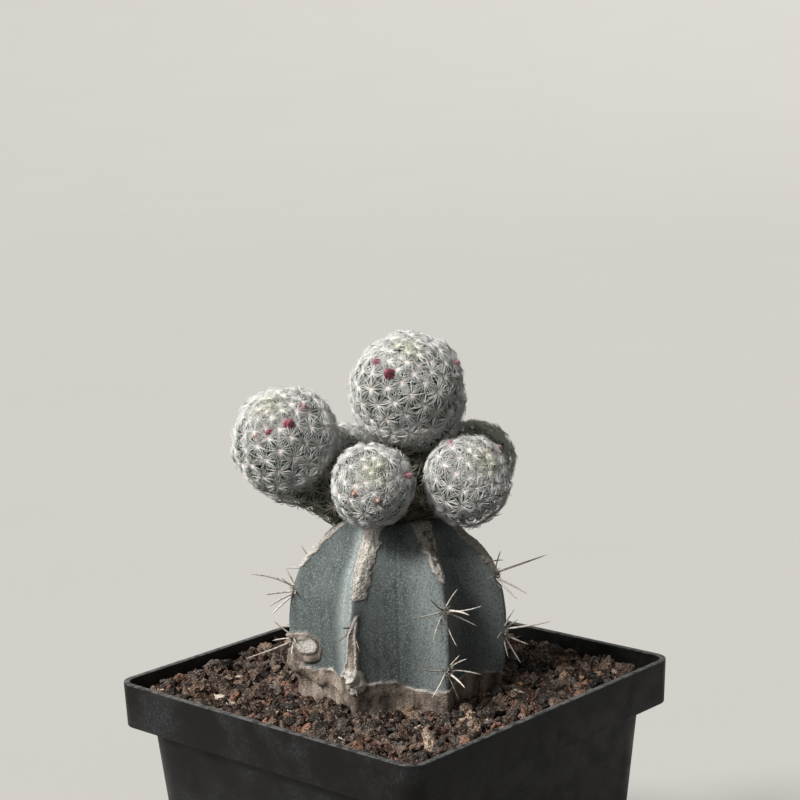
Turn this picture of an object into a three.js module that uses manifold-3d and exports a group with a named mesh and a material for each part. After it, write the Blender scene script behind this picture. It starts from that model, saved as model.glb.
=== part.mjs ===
// A clump of white-spined cactus heads grafted on a ribbed stock, in a square plastic pot.
// Millimetres, +Z up. The origin is the middle of the pot's underside, and the pot's sides
// lie along X and Y. The plant's own group starts at the stock's axis, level with the rim.
import * as THREE from 'three';
import { ConvexHull } from 'three/addons/math/ConvexHull.js';
import { mergeVertices } from 'three/addons/utils/BufferGeometryUtils.js';
import Module from 'manifold-3d';

const wasm = await Module();
wasm.setup();

// Driving dimensions

const FIT = 0.3;
const GOLDEN_ANGLE = Math.PI * (3 - Math.sqrt(5));

const pot = {
  side: 80,
  height: 72,
  rimCorner: 4,
  bandHeight: 9,
  bandTaper: 0.3,
  bandStep: 2.9,
  bodyCorner: 8,
  footHalf: 31.4,
  footCorner: 6.5,
  footChamfer: 0.8,
  rimChamfer: 0.4,
  wall: 1.2,
  floor: 2,
  cornerSteps: 5,
  drainRadius: 3.6,
  drainReach: 19,
};

const soil = {
  // Heights are below the rim.
  level: 3.3,
  mound: 0.9,
  moundReach: [20, 38],
  cornerDip: 1.6,
  rightDip: [50, 76],
  leftDip: [62, 80],
  grainSpacing: 6.8,
  bareRadius: 17,
  grainShare: [0.6, 0.8],
  grainHeight: [0.7, 1.9],
  grainTilt: 0.35,
  jitter: 0.8,
  slab: 6,
  overlap: 1,
  seed: 7,
};

const stock = {
  axis: new THREE.Vector2(-2.5, -3),
  // Bearings of the seven rib crests, in degrees from +X.
  ribs: [42, 94, 146, 198, 248, 300, 350],
  // Radius at the rib crests by height above the rim. The first three rings are in the soil.
  outline: [
    [-16, 12], [-12, 17], [-6, 20.2], [-2.5, 20.6], [1.2, 20.8], [1.9, 21.4], [5, 21.8], [9.5, 22.1],
    [14, 22.1], [18, 21.6], [20.5, 20.9], [23.4, 19.6], [25.6, 18.2], [27.7, 16.4], [29.5, 14.1],
    [31.5, 12], [33, 9.4],
  ],
  // Share of the crest radius from a crest (0) to the furrow beside it (1).
  rib: [[0, 1], [0.14, 0.948], [0.6, 0.815], [1, 0.765]],
  // The furrows are shallower in the soil and towards the top.
  lowFurrow: { share: 0.35, from: -14, to: 6 },
  topFurrow: { share: 0.2, from: 27 },
  buriedTop: -4,
  collarTop: 1,
  socketTop: 4,
  // The cut shoulders are blunt: up to this share from a crest they keep its radius.
  shoulderStart: 20.5,
  shoulderEdge: 1.005,
  bluntShare: 0.2,
};

// Spine clusters of the stock. Each spine is the way from its areole to its tip, as millimetres
// sideways (anticlockwise seen from above), up and out.
const spineSets = {
  wheel: [
    [-8, 0.5, 1.5], [-4.4, 3.8, 2], [1.3, 5, 2.5], [6.2, 1.1, 3], [2.3, 0.3, 5],
    [5.3, -2.9, 2.5], [1.1, -6.4, 2], [-3.9, -4.5, 2],
  ],
  fan: [
    [-6.4, 2.1, 1.5], [1.4, 3.6, 2], [2.7, 2.8, 2.5], [5.8, -0.9, 2.5], [1.1, -2.1, 4.5],
    [1.3, -5.5, 1.5], [-4.5, -4, 1.5],
  ],
  lance: [
    [1, 4.2, 9.7], [-2, -3.1, 6], [-3, -4, 4.2], [-1, 5.3, 0.8], [-5, 4.7, -0.2],
    [-7, 1.2, -1.2], [-1, -2.5, 0.8],
  ],
  spray: [
    [1, 2.1, 8.9], [-5.5, 0.2, -0.9], [-1.5, -4.9, 0.5], [-1.5, -6, 3], [2, -3.2, 4.2],
    [1, 4.5, 1.7], [2.5, 1.8, 2], [-1, 3.2, 0.8],
  ],
  hook: [
    [0, 4.1, 8.4], [1, 3.1, 2.3], [1, -0.1, 5.7], [2, -2.2, 5], [0, -4.5, 4.3],
    [-1, 3.4, 0.7], [-2, 4.6, 1], [4, 0.5, 0.1],
  ],
  sparse: [[2, -2.5, 9.3], [0, 4.1, 3.3], [4.5, 0.6, -0.3], [2, -3.2, 0.3], [-3, -1, 3]],
  stubs: [[-1.2, 0.8, 1.2], [2.6, -3.6, 1.6], [-2.4, -2.2, 1.2]],
};
const areoles = [
  { rib: 146, height: 19.5, spines: spineSets.hook },
  { rib: 146, height: 9.8, spines: spineSets.sparse },
  { rib: 198, height: 15.4, spines: spineSets.stubs },
  { rib: 248, height: 18.3, spines: spineSets.wheel },
  { rib: 248, height: 6.7, spines: spineSets.fan },
  { rib: 300, height: 21.2, spines: spineSets.lance },
  { rib: 300, height: 9.8, spines: spineSets.spray },
  { rib: 350, height: 18.6, spines: spineSets.fan },
  { rib: 350, height: 7.4, spines: spineSets.wheel },
  { rib: 42, height: 20.2, spines: spineSets.hook },
  { rib: 42, height: 8.8, spines: spineSets.fan },
  { rib: 94, height: 18.9, spines: spineSets.wheel },
  { rib: 94, height: 8.1, spines: spineSets.sparse },
];
const stockSpine = {
  rootRadius: 0.3, sink: 0.8, rootSpread: 0.6, areoleRadius: 1.1, areoleScale: [0.7, 0.8, 1],
};

// Cork that has healed over old wounds. Half sizes are outward, across and up.
const corkLumps = [
  // The ridge on the front rib and the knob below it.
  { half: [0.9, 1.1, 4.6], bearing: 198, out: 21.3, height: 12.2, detail: 1 },
  { half: [1.6, 2.4, 2.7], bearing: 197, out: 20.8, height: 5.4, detail: 1 },
  // The mound where a pup was taken off, and two lumps beside it.
  { half: [1.7, 2.5, 2.9], bearing: 158, out: 18.2, height: 8.2, detail: 1 },
  { half: [0.9, 1.2, 2.1], bearing: 147, out: 21.6, height: 5.8, detail: 0 },
  { half: [1.3, 2, 1.6], bearing: 156, out: 18.8, height: 2.8, detail: 0 },
];

const union = {
  // Radius and height above the rim, from the seat on the stock to the top.
  outline: [[8.2, 33.3], [9, 34.6], [8.6, 36.6], [6.5, 38.8], [3, 40]],
  crown: 0.6,
  segments: 14,
};

// The heads. Places are from the stock's axis, level with the rim. The axis is the way from the
// middle of the globe to the growing tip, and the radius reaches to the tips of the spines.
const heads = [
  {
    name: 'head_top', globe: [0.8, -3.8, 57.8], axis: [-0.41, -0.33, 0.85], radius: 11.7,
    root: [0, 0, 36.5], neck: 6.2, fullness: 2.8,
    buds: [[202, 28], [312, 31], [180, 39]],
  },
  {
    name: 'head_left', globe: [-14.5, 14.6, 48.2], axis: [-0.55, -0.19, 0.81], radius: 11.2,
    root: [-3, 4, 34.5], neck: 6.5, fullness: 2.2,
    buds: [[229, 31], [206, 23], [256, 49], [190, 17]],
  },
  {
    name: 'head_front', globe: [-13.8, -7.1, 42.2], axis: [-0.57, -0.62, 0.54], radius: 8.4,
    root: [-1, -0.5, 35.3], neck: 3.3, fullness: 2.1,
    buds: [[287, 18], [201, 2], [228, -7]],
  },
  {
    name: 'head_right', globe: [1.9, -17.1, 41.6], axis: [-0.23, -0.78, 0.59], radius: 8.9,
    root: [0, -1, 35.3], neck: 3.3, fullness: 2.1,
    buds: [[100, 68], [321, 45]],
  },
  {
    name: 'head_back_right', globe: [17.6, -6, 41.6], axis: [0.72, -0.2, 0.66], radius: 8.2,
    root: [1, -0.5, 35.3], neck: 3.3, fullness: 2.2,
    buds: [[352, 30], [30, 48]],
  },
  {
    name: 'head_back_left', globe: [2.5, 15.5, 42.8], axis: [0.15, 0.6, 0.79], radius: 6.6,
    root: [0.5, 1, 35.3], neck: 3, fullness: 2.2,
    buds: [[75, 35]],
  },
];
const headLine = { steps: 200, bend: 0.9, rootPull: 0.33, merge: 4 };
const star = {
  spacing: 4.72,
  spines: 7,
  length: 3.1,
  tilt: 0.17,
  rise: 0.25,
  padRadius: 0.45,
  tubercle: 1.7,
  reach: 1.05,
  clear: 0.6,
  phases: 6,
  spineShares: [0.35, 0.55, 0.75, 1],
  // Below the last stars the neck has rings of bare tubercles.
  bareNeck: 4,
  neckMargin: 3.2,
  neckRings: 2,
  ringSites: 6,
  ringInset: 0.6,
};
const bud = { size: [1.05, 1.05, 1.5], sink: 0.3 };

const colours = {
  plastic: '#26272a',
  substrate: '#4a3026',
  epidermis: '#5d6f6c',
  cork: '#8a7a68',
  spines: '#c9cabf',
};

// Helpers

function randomFrom(seed) {
  let state = seed;
  return () => {
    state = (state * 1664525 + 1013904223) % 4294967296;
    return state / 4294967296;
  };
}

function between(random, low, high) {
  return low + (high - low) * random();
}

function polar(radius, bearing, z = 0) {
  const angle = THREE.MathUtils.degToRad(bearing);
  return new THREE.Vector3(radius * Math.cos(angle), radius * Math.sin(angle), z);
}

function bareCopy(geometry) {
  const bare = geometry.index ? geometry.toNonIndexed() : geometry.clone();
  bare.deleteAttribute('normal');
  bare.deleteAttribute('uv');
  return mergeVertices(bare, 1e-4);
}

function toSolid(geometry) {
  const merged = bareCopy(geometry);
  const mesh = new wasm.Mesh({
    numProp: 3,
    vertProperties: merged.attributes.position.array,
    triVerts: new Uint32Array(merged.index.array),
  });
  return new wasm.Manifold(mesh);
}

function toGeometry(solid) {
  const mesh = solid.getMesh();
  const geometry = new THREE.BufferGeometry();
  geometry.setAttribute('position', new THREE.BufferAttribute(mesh.vertProperties, 3));
  geometry.setIndex(new THREE.BufferAttribute(mesh.triVerts, 1));
  geometry.computeVertexNormals();
  return geometry;
}

// The largest body of a solid, without the scraps that a cut leaves.
function mainBody(solid) {
  return solid.decompose().reduce((a, b) => (b.volume() > a.volume() ? b : a));
}

function fromTriangles(points, triangles) {
  const geometry = new THREE.BufferGeometry().setFromPoints(points);
  geometry.setIndex(triangles);
  return geometry;
}

// A closed skin over rings of equally many points, listed anticlockwise from the bottom up.
function skin(rings) {
  const count = rings[0].length;
  const points = rings.flat();
  const triangles = [];
  for (let ring = 0; ring + 1 < rings.length; ring++) {
    for (let i = 0; i < count; i++) {
      const a = ring * count + i;
      const b = ring * count + (i + 1) % count;
      triangles.push(a, b, b + count, a, b + count, a + count);
    }
  }
  const closeEnd = (ring, turn) => {
    const middle = new THREE.Vector3();
    rings[ring].forEach((point) => middle.addScaledVector(point, 1 / count));
    points.push(middle);
    for (let i = 0; i < count; i++) {
      const a = ring * count + i;
      const b = ring * count + (i + 1) % count;
      triangles.push(points.length - 1, ...(turn ? [b, a] : [a, b]));
    }
  };
  closeEnd(0, true);
  closeEnd(rings.length - 1, false);
  return fromTriangles(points, triangles);
}

function roundedSquare(half, corner, z) {
  const ring = [];
  for (let quarter = 0; quarter < 4; quarter++) {
    for (let step = 0; step <= pot.cornerSteps; step++) {
      const bearing = 90 * (quarter + step / pot.cornerSteps);
      const middle = polar((half - corner) * Math.SQRT2, 90 * quarter + 45, z);
      ring.push(middle.add(polar(corner, bearing)));
    }
  }
  return ring;
}

// Pot

const bandBottom = pot.height - pot.bandHeight;
const rimHalf = pot.side / 2;
const bodyTopHalf = rimHalf - pot.bandStep;

// The pot's inside, drawn in by a gap, up to a given height.
function inside(gap, top) {
  const inset = pot.wall + gap;
  const ledge = bandBottom + pot.wall + gap;
  return [
    roundedSquare(pot.footHalf - inset, pot.footCorner - inset, pot.floor + gap),
    roundedSquare(bodyTopHalf - inset, pot.bodyCorner - inset, ledge),
    roundedSquare(rimHalf - pot.bandTaper - inset, pot.rimCorner - inset, ledge),
    roundedSquare(rimHalf - inset, pot.rimCorner - inset, top),
  ];
}

function makePot() {
  const outside = skin([
    roundedSquare(pot.footHalf - pot.footChamfer, pot.footCorner, 0),
    roundedSquare(pot.footHalf, pot.footCorner, pot.footChamfer),
    roundedSquare(bodyTopHalf, pot.bodyCorner, bandBottom),
    roundedSquare(rimHalf - pot.bandTaper, pot.rimCorner, bandBottom),
    roundedSquare(rimHalf, pot.rimCorner, pot.height - pot.rimChamfer),
    roundedSquare(rimHalf - pot.rimChamfer, pot.rimCorner - pot.rimChamfer, pot.height),
  ]);
  let solid = toSolid(outside).subtract(toSolid(skin(inside(0, pot.height + 1))));
  const drain = new THREE.CylinderGeometry(pot.drainRadius, pot.drainRadius, 3 * pot.floor, 12);
  drain.rotateX(Math.PI / 2);
  const places = [new THREE.Vector3(), ...[45, 135, 225, 315].map((b) => polar(pot.drainReach, b))];
  for (const place of places) {
    solid = solid.subtract(toSolid(drain).translate(place.toArray()));
  }
  return toGeometry(solid);
}

// Stock

function outlineAt(height) {
  const { outline } = stock;
  const next = outline.findIndex(([z]) => z >= height);
  if (next <= 0) return next === 0 ? outline[0][1] : outline.at(-1)[1];
  const [z0, r0] = outline[next - 1];
  const [z1, r1] = outline[next];
  return r0 + (r1 - r0) * (height - z0) / (z1 - z0);
}

// How far the furrows are cut in: fully along the green body, little in the soil and at the top.
function ribDepth(height) {
  const { lowFurrow, topFurrow, outline } = stock;
  const low = THREE.MathUtils.smoothstep(height, lowFurrow.from, lowFurrow.to);
  const top = THREE.MathUtils.smoothstep(height, topFurrow.from, outline.at(-1)[0]);
  return (lowFurrow.share + (1 - lowFurrow.share) * low) * (1 - (1 - topFurrow.share) * top);
}

function stockRing(height, gap) {
  const ring = [];
  const crest = outlineAt(height);
  const shoulder = height > stock.shoulderStart;
  const addPoint = (from, span, [share, size]) => {
    const blunt = shoulder && share > 0 && share < stock.bluntShare;
    const factor = blunt ? stock.shoulderEdge : 1 - (1 - size) * ribDepth(height);
    ring.push(polar(crest * factor + gap, from + span * share / 2, height));
  };
  stock.ribs.forEach((bearing, i) => {
    const following = i + 1 < stock.ribs.length ? stock.ribs[i + 1] : stock.ribs[0] + 360;
    const span = following - bearing;
    stock.rib.forEach((point) => addPoint(bearing, span, point));
    stock.rib.slice(1, -1).reverse().forEach((point) => addPoint(following, -span, point));
  });
  return ring;
}

// The hole in the soil round the stock's buried end. It goes up straight from the collar.
function makeSocket() {
  const { outline, buriedTop, collarTop, socketTop } = stock;
  const heights = outline.map(([z]) => z).filter((z) => z < buriedTop);
  const rings = [...heights, buriedTop, socketTop].map((z) => stockRing(Math.min(z, collarTop), FIT));
  rings.at(-1).forEach((point) => point.setZ(socketTop));
  rings[0].forEach((point) => point.setZ(point.z - FIT));
  return toSolid(skin(rings));
}

function lump({ half, bearing, out, height, detail }) {
  const geometry = new THREE.IcosahedronGeometry(1, detail);
  geometry.scale(...half);
  geometry.rotateZ(THREE.MathUtils.degToRad(bearing));
  return toSolid(geometry).translate(polar(out, bearing, height).toArray());
}

function needle(root, tip, radius) {
  const way = new THREE.Vector3().subVectors(tip, root);
  const geometry = new THREE.ConeGeometry(radius, way.length(), 3, 1);
  geometry.translate(0, way.length() / 2, 0);
  const turn = new THREE.Quaternion().setFromUnitVectors(new THREE.Vector3(0, 1, 0), way.normalize());
  geometry.applyQuaternion(turn);
  return toSolid(geometry).translate(root.toArray());
}

function spineCluster({ rib, height, spines }) {
  const out = polar(1, rib);
  const side = polar(1, rib + 90);
  const areole = out.clone().multiplyScalar(outlineAt(height)).setZ(height);
  const { areoleRadius, areoleScale, sink, rootSpread, rootRadius } = stockSpine;
  const pad = new THREE.OctahedronGeometry(areoleRadius, 0);
  pad.scale(...areoleScale);
  pad.rotateZ(THREE.MathUtils.degToRad(rib));
  const pieces = [toSolid(pad).translate(areole.toArray())];
  for (const [aside, up, outward] of spines) {
    const way = side.clone().multiplyScalar(aside).setZ(up);
    const tip = areole.clone().add(way).addScaledVector(out, outward);
    const root = areole.clone().addScaledVector(way.normalize(), rootSpread).addScaledVector(out, -sink);
    pieces.push(needle(root, tip, rootRadius));
  }
  return pieces;
}

function makeStock() {
  const rings = stock.outline.map(([z]) => stockRing(z, 0));
  const pieces = [toSolid(skin(rings)), ...corkLumps.map(lump), ...areoles.flatMap(spineCluster)];
  return toGeometry(mainBody(wasm.Manifold.union(pieces)));
}

// The ribbed body with a gap round it, for the heads that lean on its shoulder.
function stockSeat() {
  const rings = stock.outline.map(([z]) => stockRing(z, FIT));
  return toSolid(skin(rings)).translate([0, 0, FIT]);
}

// Soil

function soilHeight(x, y) {
  const fromStock = Math.hypot(x - stock.axis.x, y - stock.axis.y);
  const mound = soil.mound * (1 - THREE.MathUtils.smoothstep(fromStock, ...soil.moundReach));
  const right = soil.cornerDip * THREE.MathUtils.smoothstep(x - y, ...soil.rightDip);
  const left = soil.cornerDip * THREE.MathUtils.smoothstep(y - x, ...soil.leftDip);
  return pot.height - soil.level + mound - right - left;
}

// The grains' cells: a honeycomb whose shared corners are moved about at random.
function honeycomb(random) {
  const { grainSpacing, jitter } = soil;
  const edge = grainSpacing / Math.sqrt(3);
  const columns = Math.ceil(rimHalf / grainSpacing) + 1;
  const rows = Math.ceil(rimHalf / (1.5 * edge)) + 1;
  const corners = new Map();
  const cells = [];
  for (let j = -rows; j <= rows; j++) {
    for (let i = -columns; i <= columns; i++) {
      const x = (i + (j % 2 ? 0.5 : 0)) * grainSpacing;
      const y = 1.5 * edge * j;
      const ids = [30, 90, 150, 210, 270, 330].map((bearing) => {
        const corner = polar(edge, bearing).add(new THREE.Vector3(x, y, 0));
        const key = `${Math.round(2 * corner.x / grainSpacing)} ${Math.round(2 * corner.y / edge)}`;
        if (!corners.has(key)) {
          corner.x += between(random, -jitter, jitter);
          corner.y += between(random, -jitter, jitter);
          corners.set(key, { id: corners.size, point: corner });
        }
        return corners.get(key).id;
      });
      cells.push(ids);
    }
  }
  return { cells, points: [...corners.values()].map(({ point }) => point) };
}

// One grain: a raised, tilted top inside the corners of its cell, flat where the
// stock stands.
function addGrain(ids, points, triangles, random) {
  const middle = new THREE.Vector3();
  ids.forEach((id) => middle.addScaledVector(points[id], 1 / ids.length));
  if (Math.hypot(middle.x - stock.axis.x, middle.y - stock.axis.y) < soil.bareRadius) {
    points.push(middle);
    ids.forEach((id, i) => triangles.push(id, ids[(i + 1) % ids.length], points.length - 1));
    return;
  }
  const share = between(random, ...soil.grainShare);
  const height = between(random, ...soil.grainHeight);
  const tilt = polar(soil.grainTilt, between(random, 0, 360));
  const base = points.length;
  for (const id of ids) {
    const way = points[id].clone().sub(middle).multiplyScalar(share);
    points.push(middle.clone().add(way).setZ(middle.z + height + way.dot(tilt)));
  }
  ids.forEach((id, i) => {
    const following = (i + 1) % ids.length;
    const a = base + i;
    const b = base + following;
    triangles.push(id, ids[following], b, id, b, a);
    if (i > 0 && following > 0) triangles.push(base, a, b);
  });
}

// A slab whose top is the heap of grains. It reaches past the pot's walls, which trim it.
function grainSlab() {
  const random = randomFrom(soil.seed);
  const { cells, points } = honeycomb(random);
  points.forEach((point) => point.setZ(soilHeight(point.x, point.y)));
  const triangles = [];
  const edges = new Map();
  for (const ids of cells) {
    ids.forEach((id, i) => edges.set(`${id} ${ids[(i + 1) % ids.length]}`, [id, ids[(i + 1) % ids.length]]));
    addGrain(ids, points, triangles, random);
  }
  const below = new Map();
  const bottom = pot.height - soil.slab;
  points.push(new THREE.Vector3(0, 0, bottom));
  const middle = points.length - 1;
  const belowOf = (id) => {
    if (!below.has(id)) below.set(id, points.push(points[id].clone().setZ(bottom)) - 1);
    return below.get(id);
  };
  for (const [a, b] of edges.values()) {
    if (edges.has(`${b} ${a}`)) continue;
    const c = belowOf(a);
    const d = belowOf(b);
    triangles.push(b, a, c, b, c, d, d, c, middle);
  }
  return toSolid(fromTriangles(points, triangles));
}

function makeSoil() {
  const socket = makeSocket().translate([stock.axis.x, stock.axis.y, pot.height]);
  const room = toSolid(skin(inside(FIT, pot.height + soil.slab)));
  const fill = toSolid(skin(inside(FIT, pot.height - soil.slab + soil.overlap)));
  return toGeometry(mainBody(grainSlab().intersect(room).add(fill).subtract(socket)));
}

// Graft union

// A turned outline with a given gap round it, closed on the axis at both ends.
function unionSolid(gap) {
  const [[seatRadius, seatHeight]] = union.outline;
  const top = union.outline.at(-1);
  const profile = [
    new THREE.Vector2(0, seatHeight - gap),
    new THREE.Vector2(seatRadius + gap, seatHeight - gap),
    ...union.outline.slice(1).map(([r, z]) => new THREE.Vector2(r + gap, z + gap / 2)),
    new THREE.Vector2(0, top[1] + union.crown + gap),
  ];
  const geometry = new THREE.LatheGeometry(profile, union.segments);
  geometry.rotateX(Math.PI / 2);
  return toSolid(geometry);
}

// Heads

// The middle line, radius, area and stretch of a head's body, sampled from the tip to the root.
function headBody(head) {
  const axis = new THREE.Vector3(...head.axis).normalize();
  const globe = new THREE.Vector3(...head.globe);
  const root = new THREE.Vector3(...head.root);
  const radius = head.radius - star.reach;
  const tip = globe.clone().addScaledVector(axis, radius);
  const toGlobe = globe.clone().sub(root);
  const line = new THREE.CurvePath();
  line.add(new THREE.LineCurve3(tip, globe));
  line.add(new THREE.CubicBezierCurve3(
    globe,
    globe.clone().addScaledVector(axis, -headLine.bend * radius),
    root.clone().addScaledVector(toGlobe, headLine.rootPull),
    root,
  ));
  const length = line.getLength();
  const across = axis.clone().cross(toGlobe).normalize();
  const { steps, merge } = headLine;
  const samples = [];
  let area = 0;
  let stretch = Math.log(0.5 * length / steps);
  for (let i = 0; i < steps; i++) {
    const s = length * (i + 0.5) / steps;
    const along = line.getTangentAt(s / length).negate();
    const u = (s - radius) / radius;
    const power = u < 0 ? 2 : head.fullness;
    const ball = radius * Math.max(0, 1 - Math.abs(u) ** power) ** (1 / power);
    const neck = head.neck * THREE.MathUtils.smoothstep(u, 0, 1);
    const r = (ball ** merge + neck ** merge) ** (1 / merge);
    area += r * length / steps;
    if (i > 0) stretch += (length / steps) / r;
    samples.push({
      s, r, area, stretch, u, along, middle: line.getPointAt(s / length), out: across.clone().cross(along),
    });
  }
  samples.forEach((sample, i) => {
    const a = samples[Math.max(0, i - 1)];
    const b = samples[Math.min(steps - 1, i + 1)];
    sample.slope = (b.r - a.r) / (b.s - a.s);
  });
  const equator = samples.find(({ u }) => u >= 0).stretch;
  return { head, samples, across, equator, length, root };
}

// A place on a body: its point, its outward normal, and its place on a sphere that keeps angles,
// on which neighbours can be found.
function bodySite(body, index, angle) {
  const sample = body.samples[index];
  const radial = sample.out.clone().multiplyScalar(Math.cos(angle));
  radial.addScaledVector(body.across, -Math.sin(angle));
  const point = sample.middle.clone().addScaledVector(radial, sample.r);
  const normal = radial.clone().addScaledVector(sample.along, sample.slope).normalize();
  const polarAngle = 2 * Math.atan(Math.exp(sample.stretch - body.equator));
  const onSphere = new THREE.Vector3().setFromSphericalCoords(1, polarAngle, angle);
  return { point, normal, onSphere };
}

function bodySites(body) {
  const { samples, length } = body;
  const { neckMargin, bareNeck, neckRings, ringSites, ringInset } = star;
  const starred = samples.filter(({ s }) => s < length - neckMargin - bareNeck);
  const cell = star.spacing ** 2 * Math.sqrt(3) / 2;
  const total = starred.at(-1).area;
  const count = Math.round(2 * Math.PI * total / cell);
  const sites = [];
  for (let k = 0; k < count; k++) {
    const index = starred.findIndex(({ area }) => area >= total * (k + 0.5) / count);
    sites.push({ ...bodySite(body, index, k * GOLDEN_ANGLE), starred: true });
  }
  for (let ring = 0; ring < neckRings; ring++) {
    const s = length - neckMargin * (neckRings - 1 - ring) - ringInset;
    const index = samples.findIndex((sample) => sample.s >= s);
    for (let i = 0; i < ringSites; i++) {
      const angle = (i + ring / 2) * 2 * Math.PI / ringSites;
      sites.push({ ...bodySite(body, index, angle), starred: false });
    }
  }
  const end = samples.at(-1);
  const pole = { point: end.middle.clone(), normal: end.along.clone(), starred: false, end: true };
  sites.push({ ...pole, onSphere: new THREE.Vector3(0, -1, 0) });
  return sites;
}

// Sites that touch another head's spines stay bare.
function clearOfOthers(site, body, bodies) {
  return bodies.every((other) => other === body || other.samples.every(({ middle, r }) => {
    const margin = r + star.reach + star.clear;
    return site.point.distanceToSquared(middle) > margin * margin;
  }));
}

// The cell round each site: its corners in order, anticlockwise from outside, and its neighbours.
function cellsOf(sites) {
  const index = new Map(sites.map((site, i) => [site.onSphere, i]));
  const siteAt = (edge) => index.get(edge.head().point);
  const hull = new ConvexHull().setFromPoints(sites.map((site) => site.onSphere));
  const cells = sites.map(() => ({ corners: [], neighbours: [] }));
  const cornerOf = new Map(hull.faces.map((face, i) => [face, i]));
  const corners = hull.faces.map((face) => {
    const middle = new THREE.Vector3();
    const normal = new THREE.Vector3();
    for (const i of [0, 1, 2]) {
      const edge = face.getEdge(i);
      middle.addScaledVector(sites[siteAt(edge)].point, 1 / 3);
      normal.add(sites[siteAt(edge)].normal);
      const cell = cells[siteAt(edge)];
      if (cell.corners.length > 0) continue;
      let walk = edge;
      do {
        cell.corners.push(cornerOf.get(walk.face));
        cell.neighbours.push(siteAt(walk.next));
        walk = walk.next.twin;
      } while (walk !== edge);
    }
    return middle.addScaledVector(normal.normalize(), -star.tubercle);
  });
  return { cells, corners };
}

function tangentFrame(normal) {
  const helper = Math.abs(normal.z) < 0.9 ? new THREE.Vector3(0, 0, 1) : new THREE.Vector3(1, 0, 0);
  const e1 = helper.cross(normal).normalize();
  return [e1, normal.clone().cross(e1)];
}

function aroundSite(site, point) {
  const way = point.clone().sub(site.point);
  return Math.atan2(way.dot(site.frame[1]), way.dot(site.frame[0]));
}

function starTips(site, phase) {
  const tips = [];
  for (let i = 0; i < star.spines; i++) {
    const angle = phase + 2 * Math.PI * (i + 0.5) / star.spines;
    const way = site.frame[0].clone().multiplyScalar(Math.cos(angle));
    way.addScaledVector(site.frame[1], Math.sin(angle)).addScaledVector(site.normal, star.tilt);
    tips.push(site.point.clone().addScaledVector(way, star.length));
  }
  return tips;
}

// The least distance from this star's spines to those of its neighbours, sampled along them.
function starClearance(tips, site, others) {
  let least = Infinity;
  for (const other of others) {
    for (const tip of tips) {
      for (const otherTip of other.tips) {
        for (const a of star.spineShares) {
          for (const b of star.spineShares) {
            const p = site.point.clone().lerp(tip, a);
            const q = other.point.clone().lerp(otherTip, b);
            least = Math.min(least, p.distanceToSquared(q));
          }
        }
      }
    }
  }
  return least;
}

// Turns each star so that its spines pass between those of its neighbours.
function combStars(sites, cells) {
  const turn = 2 * Math.PI / star.spines;
  const phases = Array.from({ length: star.phases }, (_, i) => i * turn / star.phases);
  sites.forEach((site, i) => {
    if (!site.starred) return;
    const others = cells[i].neighbours.map((id) => sites[id]).filter((other) => other.tips);
    let best = -1;
    for (const phase of phases) {
      const tips = starTips(site, phase);
      const clearance = starClearance(tips, site, others);
      if (clearance > best) {
        best = clearance;
        site.phase = phase;
        site.tips = tips;
      }
    }
  });
}

const fullTurn = 2 * Math.PI;

function wrap(angle) {
  return THREE.MathUtils.euclideanModulo(angle + Math.PI, fullTurn) - Math.PI;
}

// A ring whose angles run on from one entry to the next.
function unwrapped(ring) {
  const angles = [ring[0].angle];
  ring.slice(1).forEach(({ angle }, i) => angles.push(angles[i] + wrap(angle - angles[i])));
  return ring.map(({ id }, i) => ({ id, angle: angles[i] }));
}

// Faces between a cell's corners and the small ring at the top of its tubercle.
function joinRings(outer, inner, triangles) {
  const gaps = inner.map(({ angle }) => Math.abs(wrap(angle - outer[0].angle)));
  const start = gaps.indexOf(Math.min(...gaps));
  const first = { ...inner[start], angle: outer[0].angle + wrap(inner[start].angle - outer[0].angle) };
  const turned = unwrapped([first, ...inner.slice(start + 1), ...inner.slice(0, start)]);
  const angleAfter = (ring, i) => (i + 1 < ring.length ? ring[i + 1].angle : ring[0].angle + fullTurn);
  let o = 0;
  let n = 0;
  while (o < outer.length || n < turned.length) {
    const outerId = outer[o % outer.length].id;
    const innerId = turned[n % turned.length].id;
    const outerFirst = o < outer.length && angleAfter(outer, o) <= angleAfter(turned, n);
    if (n >= turned.length || outerFirst) {
      o += 1;
      triangles.push(outerId, outer[o % outer.length].id, innerId);
    } else {
      n += 1;
      triangles.push(outerId, turned[n % turned.length].id, innerId);
    }
  }
}

function addTubercle(site, ring, points, triangles) {
  const { spines, padRadius, rise } = star;
  const inner = [];
  for (let i = 0; i < spines; i++) {
    const angle = site.phase + 2 * Math.PI * i / spines;
    const way = site.frame[0].clone().multiplyScalar(Math.cos(angle));
    way.addScaledVector(site.frame[1], Math.sin(angle));
    points.push(site.point.clone().addScaledVector(way, padRadius));
    inner.push({ id: points.length - 1, angle });
  }
  joinRings(ring, inner, triangles);
  points.push(site.point.clone().addScaledVector(site.normal, rise));
  const middle = points.length - 1;
  inner.forEach(({ id }, i) => {
    const following = inner[(i + 1) % spines].id;
    points.push(site.tips[i]);
    const tip = points.length - 1;
    triangles.push(middle, id, tip, middle, tip, following, id, following, tip);
  });
}

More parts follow.
